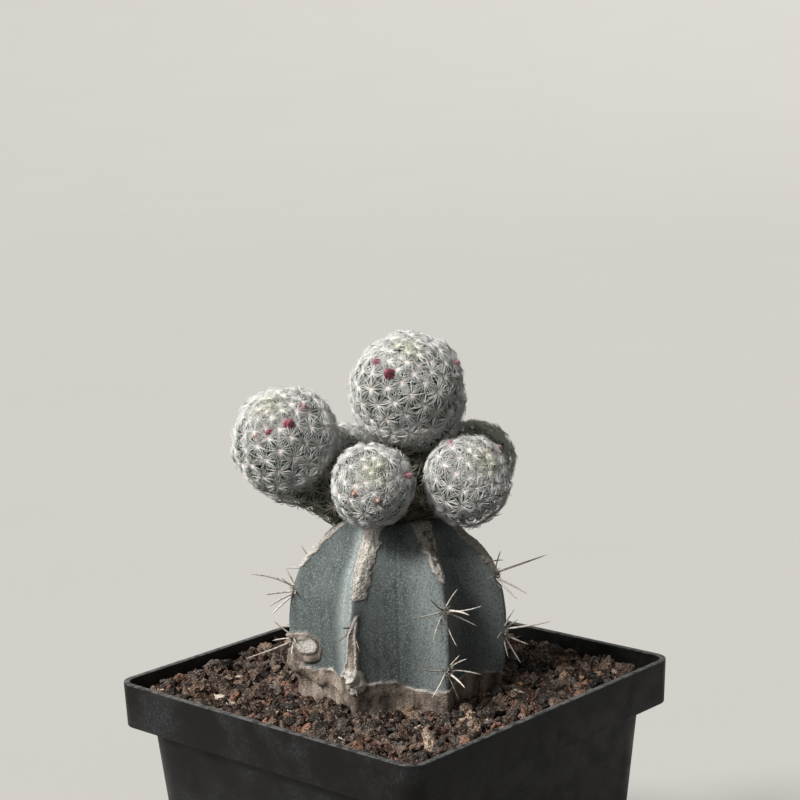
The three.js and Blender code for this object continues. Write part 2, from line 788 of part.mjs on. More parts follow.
function makeHead(body, bodies) {
  const sites = bodySites(body);
  for (const site of sites) {
    site.frame = tangentFrame(site.normal);
    site.starred = site.starred && clearOfOthers(site, body, bodies);
  }
  const { cells, corners } = cellsOf(sites);
  combStars(sites, cells);
  const points = [...corners];
  const triangles = [];
  sites.forEach((site, i) => {
    const ring = unwrapped(cells[i].corners.map((id) => ({ id, angle: aroundSite(site, corners[id]) })));
    if (site.starred) {
      addTubercle(site, ring, points, triangles);
      return;
    }
    const depth = site.end ? 0 : star.tubercle;
    points.push(site.point.clone().addScaledVector(site.normal, -depth));
    ring.forEach(({ id }, k) => triangles.push(id, ring[(k + 1) % ring.length].id, points.length - 1));
  });
  return toSolid(fromTriangles(points, triangles));
}

function makeBuds({ head }) {
  const radius = head.radius - star.reach - bud.sink;
  return head.buds.map(([bearing, elevation]) => {
    const level = Math.cos(THREE.MathUtils.degToRad(elevation));
    const way = polar(level, bearing, Math.sin(THREE.MathUtils.degToRad(elevation)));
    const geometry = new THREE.IcosahedronGeometry(1, 0);
    geometry.scale(...bud.size);
    const turn = new THREE.Quaternion().setFromUnitVectors(new THREE.Vector3(0, 0, 1), way);
    geometry.applyQuaternion(turn);
    const place = new THREE.Vector3(...head.globe).addScaledVector(way, radius);
    return toSolid(geometry).translate(place.toArray());
  });
}

// Assembly

function addPiece(group, name, geometry, colour, roughness) {
  const material = new THREE.MeshStandardMaterial({ color: colour, roughness, metalness: 0 });
  const mesh = new THREE.Mesh(geometry, material);
  mesh.name = name;
  group.add(mesh);
}

const group = new THREE.Group();
addPiece(group, 'pot', makePot(), colours.plastic, 0.5);
addPiece(group, 'soil', makeSoil(), colours.substrate, 1);

const plant = new THREE.Group();
plant.position.set(stock.axis.x, stock.axis.y, pot.height);
group.add(plant);
addPiece(plant, 'stock', makeStock(), colours.epidermis, 0.85);
addPiece(plant, 'graft_union', toGeometry(unionSolid(0)), colours.cork, 0.95);

const bodies = heads.map(headBody);
const seat = unionSolid(FIT).add(stockSeat());
for (const body of bodies) {
  const solid = wasm.Manifold.union([makeHead(body, bodies), ...makeBuds(body)]);
  addPiece(plant, body.head.name, toGeometry(mainBody(solid.subtract(seat))), colours.spines, 0.9);
}

export default group;
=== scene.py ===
"""The finished look of a potted clump of white-spined cactus heads grafted on a ribbed stock.

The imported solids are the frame. Every piece here stands where its solid stands: a finer pot, the
loose grains of the soil, the stock with its healed cork and long spines, the corky union, and the
six heads with their tubercles, their stars of fine spines and their flower buds.
Sizes are millimetres in the frame's own place, and a finished mesh is in metres.
"""
import logging
import math
from dataclasses import dataclass, field
from enum import Enum
from itertools import product
from typing import Callable, Sequence

import bpy
import numpy as np
from mathutils import Matrix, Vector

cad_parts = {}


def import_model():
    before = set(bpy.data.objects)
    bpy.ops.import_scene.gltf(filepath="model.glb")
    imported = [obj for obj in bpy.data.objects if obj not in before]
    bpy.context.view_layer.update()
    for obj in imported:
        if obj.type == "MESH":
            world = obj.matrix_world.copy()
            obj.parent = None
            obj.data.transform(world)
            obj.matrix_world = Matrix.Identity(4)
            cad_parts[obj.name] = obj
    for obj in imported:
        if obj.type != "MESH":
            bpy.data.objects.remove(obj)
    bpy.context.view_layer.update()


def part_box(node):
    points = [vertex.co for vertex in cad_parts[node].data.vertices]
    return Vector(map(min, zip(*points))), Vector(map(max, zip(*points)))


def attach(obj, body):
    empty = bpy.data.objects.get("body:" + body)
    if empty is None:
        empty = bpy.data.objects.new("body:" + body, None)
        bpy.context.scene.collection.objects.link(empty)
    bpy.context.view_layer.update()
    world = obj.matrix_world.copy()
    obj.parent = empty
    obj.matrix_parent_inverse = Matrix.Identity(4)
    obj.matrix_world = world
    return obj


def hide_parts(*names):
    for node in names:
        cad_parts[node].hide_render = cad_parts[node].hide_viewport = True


LOG = logging.getLogger("cactus")
MM = 0.001
GOLDEN_ANGLE = math.pi * (3 - math.sqrt(5))
# Large odd numbers that scatter the points of a noise's lattice, one for each axis and one for the
# seed, the number that mixes them, and the mask that keeps the bits that are used.
AXIS_SCATTER = (73856093, 19349663, 83492791)
SEED_SCATTER = 2654435761
MIX_SCATTER = 1274126177
USED_BITS = 0xFFFFFF
SEED_SHIFT = 17.3
Colour = tuple[float, float, float]
Place = Callable[[np.ndarray, np.ndarray], np.ndarray]


class Slot(Enum):
    """The record's material slots."""

    PLASTIC = "pot_plastic"
    SOIL = "soil"
    SKIN = "stock_skin"
    CORK = "cork"
    SPINES = "spined_head"


# Arithmetic on arrays of places


def eased(share: np.ndarray) -> np.ndarray:
    """Shares from 0 to 1 that start and end gently."""
    return share * share * (3 - 2 * share)


def smoothstep(value: np.ndarray, low: float, high: float) -> np.ndarray:
    """Rises smoothly from 0 at low to 1 at high."""
    return eased(np.clip((value - low) / (high - low), 0, 1))


def bell(value: np.ndarray, middle: float, width: float) -> np.ndarray:
    """A smooth bump that is 1 at its middle and falls away over its width on both sides."""
    return np.exp(-(((value - middle) / width) ** 2))


def turn_between(bearing: np.ndarray, start: np.ndarray | float) -> np.ndarray:
    """Degrees from one bearing to another the short way round, from -180 to 180."""
    return (bearing - start + 180) % 360 - 180


def unit(vectors: np.ndarray) -> np.ndarray:
    """The same directions with length one."""
    return vectors / np.linalg.norm(vectors, axis=-1, keepdims=True)


def along_bearing(bearing: np.ndarray) -> np.ndarray:
    """Level directions for bearings in degrees."""
    angle = np.radians(bearing)
    return np.stack([np.cos(angle), np.sin(angle), np.zeros_like(angle)], axis=-1)


def upward(height: np.ndarray) -> np.ndarray:
    """Upright ways of those lengths."""
    return np.asarray(height)[..., None] * np.array([0, 0, 1.0])


def cross_axes(ways: np.ndarray) -> tuple[np.ndarray, np.ndarray]:
    """Two directions for each row that stand square to it and to each other.

    Args:
        ways: Directions of length one, one row each.

    Returns:
        The first and the second ones.
    """
    helper = np.where(np.abs(ways[:, 2:]) < 0.9, [[0, 0, 1.0]], [[1.0, 0, 0]])
    first = unit(np.cross(helper, ways))
    return first, np.cross(ways, first)


def lattice_noise(points: np.ndarray, cell: float, seed: int = 0) -> np.ndarray:
    """Smooth random relief.

    Args:
        points: Places, one row each, in millimetres.
        cell: Size of one bump in millimetres.
        seed: Picks another pattern.

    Returns:
        A value from -1 to 1 for each place.
    """
    scaled = points / cell + SEED_SHIFT * seed
    base = np.floor(scaled).astype(np.int64)
    share = eased(scaled - base)
    total = np.zeros(len(points))
    for corner in product((0, 1), repeat=3):
        index = (base + corner).astype(np.uint64) * np.array(AXIS_SCATTER, np.uint64)
        mixed = index[:, 0] ^ index[:, 1] ^ index[:, 2] ^ np.uint64(seed * SEED_SCATTER % 2**32)
        mixed = (mixed ^ (mixed >> np.uint64(13))) * np.uint64(MIX_SCATTER)
        mixed = (mixed ^ (mixed >> np.uint64(16))) & np.uint64(USED_BITS)
        weight = np.prod(np.where(corner, share, 1 - share), axis=1)
        total += weight * (mixed / (USED_BITS // 2) - 1)
    return total


def fractal_noise(points: np.ndarray, cell: float, seed: int = 0, octaves: int = 3) -> np.ndarray:
    """Random relief with finer and finer bumps, each octave half as large and half as high.

    Args:
        points: Places, one row each, in millimetres.
        cell: Size of the largest bumps in millimetres.
        seed: Picks another pattern.
        octaves: How many sizes of bumps are added up.

    Returns:
        A value for each place, mostly from -1 to 1.
    """
    total = np.zeros(len(points))
    for octave in range(octaves):
        total += lattice_noise(points, cell / 2**octave, seed + octave) / 2**octave
    return total


# Making meshes


def deselect_all() -> None:
    """Nothing is selected, so that an operator reaches only the new primitive."""
    for item in list(bpy.context.selected_objects):
        item.select_set(False)


def read_points(item: bpy.types.Object) -> np.ndarray:
    """The places of an object's vertices, one row each.

    Args:
        item: A mesh object.

    Returns:
        Three columns, in the mesh's own unit.
    """
    values = np.empty(len(item.data.vertices) * 3)
    item.data.vertices.foreach_get("co", values)
    return values.reshape(-1, 3)


def write_points(item: bpy.types.Object, points: np.ndarray) -> None:
    """Moves an object's vertices to places given in millimetres."""
    item.data.vertices.foreach_set("co", (points * MM).ravel())
    item.data.update()


def set_mark(item: bpy.types.Object, name: str, values: np.ndarray) -> None:
    """Keeps one number for each vertex, which a material reads by name."""
    mark = item.data.attributes.new(name, "FLOAT", "POINT")
    mark.data.foreach_set("value", np.asarray(values, np.float32))


def loose_mesh(name: str, points: np.ndarray, triangles: np.ndarray, smooth: bool) -> bpy.types.Object:
    """Makes one object of many closed bodies.

    Args:
        name: The piece's name.
        points: Places in millimetres.
        triangles: Three indices a row.
        smooth: Whether the faces are shaded smooth.

    Returns:
        The object, linked to the scene.
    """
    mesh = bpy.data.meshes.new(name)
    mesh.vertices.add(len(points))
    mesh.vertices.foreach_set("co", (points * MM).ravel())
    mesh.loops.add(triangles.size)
    mesh.loops.foreach_set("vertex_index", triangles.ravel().astype(np.int32))
    mesh.polygons.add(len(triangles))
    mesh.polygons.foreach_set("loop_start", np.arange(0, triangles.size, 3, dtype=np.int32))
    mesh.polygons.foreach_set("use_smooth", np.full(len(triangles), smooth))
    mesh.update(calc_edges=True)
    item = bpy.data.objects.new(name, mesh)
    bpy.context.scene.collection.objects.link(item)
    return item


class Template:
    """A small mesh, modelled once with Blender's tools, that is copied many times into one piece."""

    def __init__(self, item: bpy.types.Object) -> None:
        """Reads the modelled object and removes it.

        Args:
            item: The modelled object.
        """
        item.data.calc_loop_triangles()
        self.points = read_points(item)
        corners = np.empty(len(item.data.loop_triangles) * 3, np.int32)
        item.data.loop_triangles.foreach_get("vertices", corners)
        self.triangles = corners.reshape(-1, 3)
        bpy.data.objects.remove(item)

    def repeated(self, count: int) -> np.ndarray:
        """The triangles of that many copies whose points follow each other."""
        shift = len(self.points) * np.arange(count)[:, None, None]
        return (self.triangles[None] + shift).reshape(-1, 3)

    def turns(self) -> np.ndarray:
        """For a spine's template, the direction from its axis to each place, and zero at its tip.

        Returns:
            Two columns, one row for each place.
        """
        flat, height = self.points[:, :2], self.points[:, 2:]
        ring = np.linalg.norm(flat, axis=1, keepdims=True)
        return flat / np.maximum(ring, 1e-9) * (height < 0.999)


def spine_template(sides: int, cuts: Sequence[float]) -> Template:
    """A slim cone one unit long, cut into rings so that it can be bent.

    Args:
        sides: How many sides the spine has.
        cuts: Heights of the rings between its root and its tip.

    Returns:
        The spine's template, which points along Z.
    """
    deselect_all()
    bpy.ops.mesh.primitive_cone_add(vertices=sides, radius1=1, radius2=0, depth=1, location=(0, 0, 0.5))
    item = bpy.context.object
    bpy.ops.object.transform_apply(location=True, rotation=False, scale=False)
    bpy.ops.object.mode_set(mode="EDIT")
    for cut in cuts:
        bpy.ops.mesh.select_all(action="SELECT")
        bpy.ops.mesh.bisect(plane_co=(0, 0, cut), plane_no=(0, 0, 1))
    bpy.ops.object.mode_set(mode="OBJECT")
    return Template(item)


def ball_template(detail: int) -> Template:
    """A ball of triangles with radius one.

    Args:
        detail: How finely it is divided, from 1.

    Returns:
        The ball's template.
    """
    deselect_all()
    bpy.ops.mesh.primitive_ico_sphere_add(subdivisions=detail, radius=1)
    return Template(bpy.context.object)


def wrapped_sheet(name: str, columns: int, rows: int, place: Place) -> bpy.types.Object:
    """Wraps a fine grid into one closed skin.

    Args:
        name: The piece's name.
        columns: Cells round the body.
        rows: Cells from its first end to its last.
        place: Gives the places, in millimetres, for shares round and shares along. All places of
            the first row meet in one point, and so do those of the last row.

    Returns:
        The object, still open along its seam, so that marks can be set on its vertices.
    """
    deselect_all()
    bpy.ops.mesh.primitive_grid_add(x_subdivisions=columns, y_subdivisions=rows, size=2)
    item = bpy.context.object
    item.name = name
    item.data.name = name
    flat = read_points(item)
    write_points(item, place((flat[:, 0] + 1) / 2, (flat[:, 1] + 1) / 2))
    return item


def close_sheet(item: bpy.types.Object, merge: float = 0.002) -> None:
    """Merges the seam and the ends of a wrapped sheet, turns its faces outward and smooths it.

    Args:
        item: The open sheet.
        merge: Places closer than this are merged, in millimetres.
    """
    deselect_all()
    item.select_set(True)
    bpy.context.view_layer.objects.active = item
    bpy.ops.object.mode_set(mode="EDIT")
    bpy.ops.mesh.select_all(action="SELECT")
    bpy.ops.mesh.remove_doubles(threshold=merge * MM)
    bpy.ops.mesh.normals_make_consistent(inside=False)
    bpy.ops.object.mode_set(mode="OBJECT")
    bpy.ops.object.shade_smooth()


def finish_piece(
    item: bpy.types.Object, slot: Slot, material: bpy.types.Material, *nodes: str
) -> None:
    """Dresses a piece and ties it to the frame.

    Args:
        item: The finished object.
        slot: The material slot of its finish; not used.
        material: Its material.
        nodes: The solids that it stands for.
    """
    item.data.materials.clear()
    item.data.materials.append(material)
    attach(item, "root")
    if nodes:
        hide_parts(*nodes)
    item.data.calc_loop_triangles()
    LOG.info("%s: %d triangles", item.name, len(item.data.loop_triangles))


# Finishes


class NodeSheet:
    """The nodes of one material, laid out in code. Patterns are in millimetres on the object."""

    def __init__(self, name: str, roughness: float, specular: float = 0.5) -> None:
        """Starts a material with constant gloss.

        Args:
            name: The material's name.
            roughness: From 0 for a mirror to 1 for chalk.
            specular: How strongly it mirrors.
        """
        self.material = bpy.data.materials.new(name)
        self.material.use_nodes = True
        self.tree = self.material.node_tree
        self.shader = self.tree.nodes["Principled BSDF"]
        self.shader.inputs["Roughness"].default_value = roughness
        self.shader.inputs["Specular IOR Level"].default_value = specular
        self.place = self.tree.nodes.new("ShaderNodeTexCoord").outputs["Object"]

    def feed(self, socket: bpy.types.NodeSocket, value: object) -> None:
        """Links a socket to another one, or sets its own value.

        Args:
            socket: An input.
            value: Another socket, a number, or a colour or vector as a tuple.
        """
        if isinstance(value, bpy.types.NodeSocket):
            self.tree.links.new(value, socket)
        elif isinstance(value, tuple):
            socket.default_value = (*value, 1) if len(value) == 3 and socket.type == "RGBA" else value
        else:
            socket.default_value = value

    def node(self, kind: str, **values: object) -> bpy.types.Node:
        """A new node of that kind whose inputs are fed, with _ for a space in their names.

        Args:
            kind: The type of node.
            values: What its inputs are fed.

        Returns:
            The node.
        """
        node = self.tree.nodes.new(kind)
        for name, value in values.items():
            self.feed(node.inputs[name.replace("_", " ")], value)
        return node

    def stretched(self, sizes: Colour) -> bpy.types.NodeSocket:
        """Object coordinates whose pattern is stretched along each axis."""
        scale = tuple(1 / size for size in sizes)
        return self.node("ShaderNodeMapping", Vector=self.place, Scale=scale).outputs["Vector"]

    def noise(
        self, size: float, detail: float = 3, rough: float = 0.55, place: bpy.types.NodeSocket | None = None
    ) -> bpy.types.NodeSocket:
        """A cloudy pattern, from about 0.3 to 0.7, whose bumps are size millimetres.

        Args:
            size: The size of its bumps in millimetres.
            detail: How many times finer bumps are added.
            rough: How strong the finer bumps are.
            place: Coordinates, if not the object's own.

        Returns:
            The pattern's value.
        """
        scale = 1 / (size * MM)
        place = place or self.place
        node = self.node("ShaderNodeTexNoise", Vector=place, Scale=scale, Detail=detail, Roughness=rough)
        return node.outputs["Fac"]

    def mark(self, name: str) -> bpy.types.NodeSocket:
        """A number kept on the mesh.

        Args:
            name: The name that it was set by.

        Returns:
            Its value.
        """
        node = self.node("ShaderNodeAttribute")
        node.attribute_name = name
        return node.outputs["Fac"]

    def height(self) -> bpy.types.NodeSocket:
        """Height on the object in metres."""
        return self.node("ShaderNodeSeparateXYZ", Vector=self.place).outputs["Z"]

    def remap(self, value: bpy.types.NodeSocket, low: float, high: float) -> bpy.types.NodeSocket:
        """Stretches low..high to 0..1, with soft ends.

        Args:
            value: A value.
            low: The value that becomes 0.
            high: The value that becomes 1.

        Returns:
            The stretched value.
        """
        node = self.node("ShaderNodeMapRange", Value=value, From_Min=low, From_Max=high)
        node.interpolation_type = "SMOOTHSTEP"
        return node.outputs["Result"]

    def sums(self, how: str, *terms: object) -> bpy.types.NodeSocket:
        """One step of arithmetic on two or three numbers.

        Args:
            how: The kind of step.
            terms: Sockets or numbers.

        Returns:
            The result.
        """
        node = self.node("ShaderNodeMath")
        node.operation = how
        for socket, term in zip(node.inputs, terms):
            self.feed(socket, term)
        return node.outputs["Value"]

    def ramp(self, value: bpy.types.NodeSocket, *stops: tuple[float, Colour]) -> bpy.types.NodeSocket:
        """Colours along a scale from 0 to 1.

        Args:
            value: Where on the scale.
            stops: Positions on the scale and their colours.

        Returns:
            The colour.
        """
        node = self.node("ShaderNodeValToRGB", Fac=value)
        elements = node.color_ramp.elements
        while len(elements) < len(stops):
            elements.new(0.5)
        for element, (position, colour) in zip(elements, stops):
            element.position = position
            element.color = (*colour, 1)
        return node.outputs["Color"]

    def blend(
        self, share: object, first: object, second: object, how: str = "MIX"
    ) -> bpy.types.NodeSocket:
        """Mixes two colours, from the first at share 0 to the second at share 1.

        Args:
            share: A number or a socket.
            first: A colour or a socket.
            second: A colour or a socket.
            how: The kind of mixing.

        Returns:
            The mixed colour.
        """
        node = self.node("ShaderNodeMix")
        node.data_type = "RGBA"
        node.blend_type = how
        by_identifier = {socket.identifier: socket for socket in node.inputs}
        for identifier, value in (("Factor_Float", share), ("A_Color", first), ("B_Color", second)):
            self.feed(by_identifier[identifier], value)
        return next(socket for socket in node.outputs if socket.identifier == "Result_Color")

    def bump(
        self, height: bpy.types.NodeSocket, depth: float, before: bpy.types.NodeSocket | None = None
    ) -> bpy.types.NodeSocket:
        """Fine relief of that depth in millimetres, over an earlier one if it is given.

        Args:
            height: A pattern from 0 to 1.
            depth: Its depth in millimetres.
            before: The earlier relief.

        Returns:
            The bent normal.
        """
        node = self.node("ShaderNodeBump", Distance=depth * MM, Height=height)
        if before is not None:
            self.feed(node.inputs["Normal"], before)
        return node.outputs["Normal"]

    def finished(self, colour: object, normal: bpy.types.NodeSocket | None = None) -> bpy.types.Material:
        """The material, once its colour and relief are fed in.

        Args:
            colour: A colour or a socket.
            normal: The relief, if there is any.

        Returns:
            The material.
        """
        self.feed(self.shader.inputs["Base Color"], colour)
        if normal is not None:
            self.feed(self.shader.inputs["Normal"], normal)
        return self.material


@dataclass(frozen=True)
class PlasticFinish:
    """Black moulded plastic with a dry film of dust and water marks."""

    black: Colour = (0.0055, 0.0052, 0.0045)
    dust: Colour = (0.05, 0.051, 0.055)
    # The grey of the painted highlight along the rim's upper edge, and how far down it reaches.
    worn: Colour = (0.10, 0.10, 0.098)
    highlight_depth: float = 0.22
    # The sizes of the dust's clouds and specks and of the mould's grain, and the share of the dust
    # that lies where there are no specks.
    cloud: float = 9.0
    speck: float = 0.5
    grain: float = 0.35
    film: float = 0.25
    # How much the roughness varies, and its lowest value.
    gloss: tuple[float, float] = (0.3, 0.36)

    def material(self, rim: float) -> bpy.types.Material:
        """Dust lies in clouds that break up into specks, and a painted highlight of grey, broken up by
        noise, runs along the rim's upper edge.

        Args:
            rim: Height of the pot's rim in millimetres.

        Returns:
            The material.
        """
        sheet = NodeSheet("pot plastic", roughness=0.5, specular=0.15)
        clouds = sheet.remap(sheet.noise(self.cloud, 4), 0.42, 0.76)
        specks = sheet.remap(sheet.noise(self.speck, 3, 0.7), 0.42, 0.78)
        share = sheet.sums("MULTIPLY", clouds, sheet.sums("ADD", specks, self.film))
        # Painted highlight along the rim's upper edge.
        edge = sheet.remap(sheet.height(), (rim - self.highlight_depth) * MM, (rim - 0.02) * MM)
        worn = sheet.sums("MULTIPLY", edge, sheet.remap(sheet.noise(1.5, 3), 0.3, 0.6))
        colour = sheet.blend(worn, sheet.blend(share, self.black, self.dust), self.worn)
        gloss = sheet.remap(sheet.noise(self.cloud / 2, 3), 0.2, 0.9)
        rough = sheet.sums("MULTIPLY_ADD", gloss, *self.gloss)
        sheet.feed(sheet.shader.inputs["Roughness"], rough)
        relief = sheet.bump(sheet.noise(self.grain, 2), 0.03)
        return sheet.finished(colour, relief)


@dataclass(frozen=True)
class StockFinish:
    """Waxy blue-green skin with pale bloom specks, and cork where the mark says so."""

    skin: Colour = (0.084, 0.101, 0.098)
    deep: Colour = (0.046, 0.057, 0.055)
    # The bloom's colour; on the ribs' left flanks it also stands for painted light.
    crest: Colour = (0.36, 0.40, 0.392)
    speck: Colour = (0.25, 0.28, 0.272)
    pit: Colour = (0.085, 0.068, 0.052)
    cork: Colour = (0.44, 0.405, 0.355)
    pale: Colour = (0.70, 0.665, 0.61)
    bark: Colour = (0.22, 0.175, 0.14)
    bark_dark: Colour = (0.06, 0.047, 0.036)
    bark_pale: Colour = (0.43, 0.37, 0.31)
    # The darkest colour: painted shade in furrows, the hollow and on the bark, the crescent's painted
    # shadow, and dark pits.
    shade_and_pit_dark: Colour = (0.03, 0.025, 0.018)

    def strip_colour(self, sheet: NodeSheet) -> bpy.types.NodeSocket:
        """Healed cork on the ribs: pale grey grains with dark pits between them.

        Args:
            sheet: The nodes of the stock's material.

        Returns:
            The colour.
        """
        grains = sheet.ramp(sheet.noise(0.36, 3, 0.6), (0.34, self.pit), (0.45, self.cork), (0.6, self.pale))
        broad = sheet.remap(sheet.noise(2.6, 3), 0.35, 0.65)
        return sheet.blend(sheet.sums("MULTIPLY", broad, 0.5), grains, self.cork)

    def collar_colour(self, sheet: NodeSheet) -> bpy.types.NodeSocket:
        """Papery bark of the collar: dull brown, mottled, with fine upright wrinkles and dots.

        Args:
            sheet: The nodes of the stock's material.

        Returns:
            The colour.
        """
        upright = sheet.stretched((1, 1, 2.4))
        broad = sheet.ramp(
            sheet.noise(3.2, 5, 0.66, upright),
            (0.37, self.bark_dark), (0.51, self.bark), (0.66, self.bark_pale),
        )
        dots = sheet.remap(sheet.noise(0.4, 2, 0.5), 0.40, 0.30)
        return sheet.blend(sheet.sums("MULTIPLY", dots, 0.7), broad, self.bark_dark)

    def skin_colour(self, sheet: NodeSheet) -> bpy.types.NodeSocket:
        """Skin with cloudy patches, upright streaks, a paler bloom on the ribs, made paler on their left
        flanks as painted light, and fine pale specks.

        Args:
            sheet: The nodes of the stock's material.

        Returns:
            The colour.
        """
        streaks = sheet.noise(1.2, 3, 0.6, sheet.stretched((1, 1, 8)))
        base = sheet.blend(sheet.remap(streaks, 0.35, 0.65), self.deep, self.skin)
        clouded = sheet.blend(sheet.remap(sheet.noise(7, 3), 0.35, 0.7), base, self.skin)
        # The bloom mark is real bloom, with painted light added on the ribs' left flanks.
        rib = sheet.sums("MULTIPLY", sheet.mark("bloom_and_lit_flank"), sheet.remap(sheet.noise(0.5, 4, 0.7), 0.2, 0.62))
        bloomed_and_lit = sheet.blend(rib, clouded, self.crest)
        dots = sheet.remap(sheet.noise(0.36, 2, 0.6), 0.5, 0.36)
        dotted = sheet.blend(sheet.sums("MULTIPLY", dots, 0.6), bloomed_and_lit, self.deep)
        specks = sheet.remap(sheet.noise(0.32, 2, 0.6), 0.52, 0.64)
        plain = sheet.sums("MULTIPLY_ADD", sheet.mark("bloom_and_lit_flank"), -0.35, 0.6)
        return sheet.blend(sheet.sums("MULTIPLY", specks, plain), dotted, self.speck)

    def material(self) -> bpy.types.Material:
        """Skin, rough cork and papery collar meet where the marks say so, under painted shade and dark pits.

        Returns:
            The material.
        """
        sheet = NodeSheet("stock skin and cork", roughness=0.72, specular=0.3)
        barky = sheet.blend(sheet.mark("coarse"), self.collar_colour(sheet), self.strip_colour(sheet))
        cork = sheet.blend(sheet.mark("lip"), barky, self.pale)
        both = sheet.blend(sheet.mark("cork"), self.skin_colour(sheet), cork)
        # Painted shade and shadow, and the dark pits, where the stain mark says so.
        colour = sheet.blend(sheet.mark("stain_and_shade"), both, self.shade_and_pit_dark)
        fine = sheet.bump(sheet.noise(0.25, 2), 0.05)
        rough = sheet.sums("MULTIPLY", sheet.noise(0.45, 4, 0.65), sheet.mark("cork"))
        return sheet.finished(colour, sheet.bump(rough, 0.45, fine))


@dataclass(frozen=True)
class CorkFinish:
    """Old brown cork of the union and of the heads' bases, its brown made darker as painted shade where the
    union lies under the heads.
    """

    dark: Colour = (0.035, 0.028, 0.018)
    brown: Colour = (0.10, 0.08, 0.055)
    pale: Colour = (0.20, 0.165, 0.125)

    def material(self) -> bpy.types.Material:
        """Rough brown cork with dark cracks.

        Returns:
            The material.
        """
        sheet = NodeSheet("shaded union cork", roughness=0.9, specular=0.25)
        # Real cork browns, darkened as painted shade under the heads.
        colour = sheet.ramp(
            sheet.noise(1.1, 5, 0.65), (0.34, self.dark), (0.5, self.brown), (0.68, self.pale)
        )
        return sheet.finished(colour, sheet.bump(sheet.noise(0.6, 4, 0.65), 0.5))


@dataclass(frozen=True)
class TubercleFinish:
    """Green flesh of a head, with painted shade between its tubercles, and corky at its neck."""

    tip: Colour = (0.13, 0.19, 0.07)
    flank: Colour = (0.048, 0.08, 0.028)
    valley_shade: Colour = (0.012, 0.02, 0.009)
    neck: Colour = (0.20, 0.155, 0.105)
    crack: Colour = (0.05, 0.04, 0.028)

    def material(self) -> bpy.types.Material:
        """The depth mark runs from a tubercle's tip to the valley beside it, and the valley is darkened with
        painted shade.

        Returns:
            The material.
        """
        sheet = NodeSheet("tubercle flesh", roughness=0.5, specular=0.4)
        # Painted shade: the flesh darkens from each tubercle's tip into the valleys.
        green = sheet.ramp(sheet.mark("depth"), (0.0, self.tip), (0.45, self.flank), (1.0, self.valley_shade))
        mottled = sheet.blend(sheet.remap(sheet.noise(0.8, 3), 0.4, 0.75), green, self.valley_shade)
        corky = sheet.blend(sheet.remap(sheet.noise(0.9, 4), 0.4, 0.65), self.neck, self.crack)
        colour = sheet.blend(sheet.mark("neck"), mottled, corky)
        return sheet.finished(colour, sheet.bump(sheet.noise(0.35, 3), 0.12))


@dataclass(frozen=True)
class SpineFinish:
    """Fine white spines, rosy at the root, straw yellow where young and dull where old."""

    name: str = "head spines"
    root: Colour = (0.80, 0.71, 0.66)
    white: Colour = (0.82, 0.828, 0.816)
    young: Colour = (0.86, 0.86, 0.73)
    old: Colour = (0.34, 0.31, 0.23)
    shade: Colour = (0.72, 0.70, 0.68)

    def material(self) -> bpy.types.Material:
        """The way mark runs from a spine's root to its tip, the youth mark rises near the apex.

        Returns:
            The material.
        """
        sheet = NodeSheet(self.name, roughness=0.5, specular=0.4)
        white = sheet.blend(sheet.mark("youth"), self.white, self.young)
        length = sheet.remap(sheet.mark("way"), 0.0, 0.32)
        fresh = sheet.blend(length, self.root, white)
        colour = sheet.blend(sheet.sums("MULTIPLY", sheet.mark("age"), 0.8), fresh, self.old)
        shade = sheet.ramp(sheet.mark("tone"), (0.0, self.shade), (0.6, (1, 1, 1)))
        return sheet.finished(sheet.blend(1.0, colour, shade, "MULTIPLY"))


@dataclass(frozen=True)
class StockSpineFinish:
    """Long spines of the stock, bone grey with dark brown ones among them."""

    dark: Colour = (0.035, 0.025, 0.02)
    horn: Colour = (0.32, 0.26, 0.21)
    pale: Colour = (0.68, 0.63, 0.57)

    def material(self) -> bpy.types.Material:
        """The tone mark says how dark a spine is, and its root is darker than its tip.

        Returns:
            The material.
        """
        sheet = NodeSheet("stock spines", roughness=0.45)
        tone = sheet.ramp(sheet.mark("tone"), (0.0, self.dark), (0.45, self.horn), (0.8, self.pale))
        worn = sheet.blend(sheet.remap(sheet.noise(0.7, 3), 0.45, 0.7), tone, self.horn)
        root = sheet.remap(sheet.mark("way"), 0.1, 0.0)
        return sheet.finished(sheet.blend(root, worn, self.dark), sheet.bump(sheet.noise(0.3), 0.05))


@dataclass(frozen=True)
class BudFinish:
    """Flower buds, from a greenish base through their own colour to a paler tip."""

    name: str
    body: Colour
    tip: Colour
    base: Colour = (0.10, 0.11, 0.04)
    fold_shade_share: float = 0.35

    def material(self) -> bpy.types.Material:
        """The way mark runs from the bud's base to its tip, and the fold mark paints shade into the creases
        where its scales overlap.

        Returns:
            The material.
        """
        sheet = NodeSheet(self.name, roughness=0.42)
        colour = sheet.ramp(
            sheet.mark("way"), (0.0, self.base), (0.25, self.body), (0.7, self.body), (1.0, self.tip)
        )
        # Painted shade in the folds between the scales.
        dark = tuple(self.fold_shade_share * part for part in self.body)
        fold_shaded = sheet.blend(sheet.mark("fold"), colour, dark)
        return sheet.finished(fold_shaded, sheet.bump(sheet.noise(0.4, 3), 0.05))


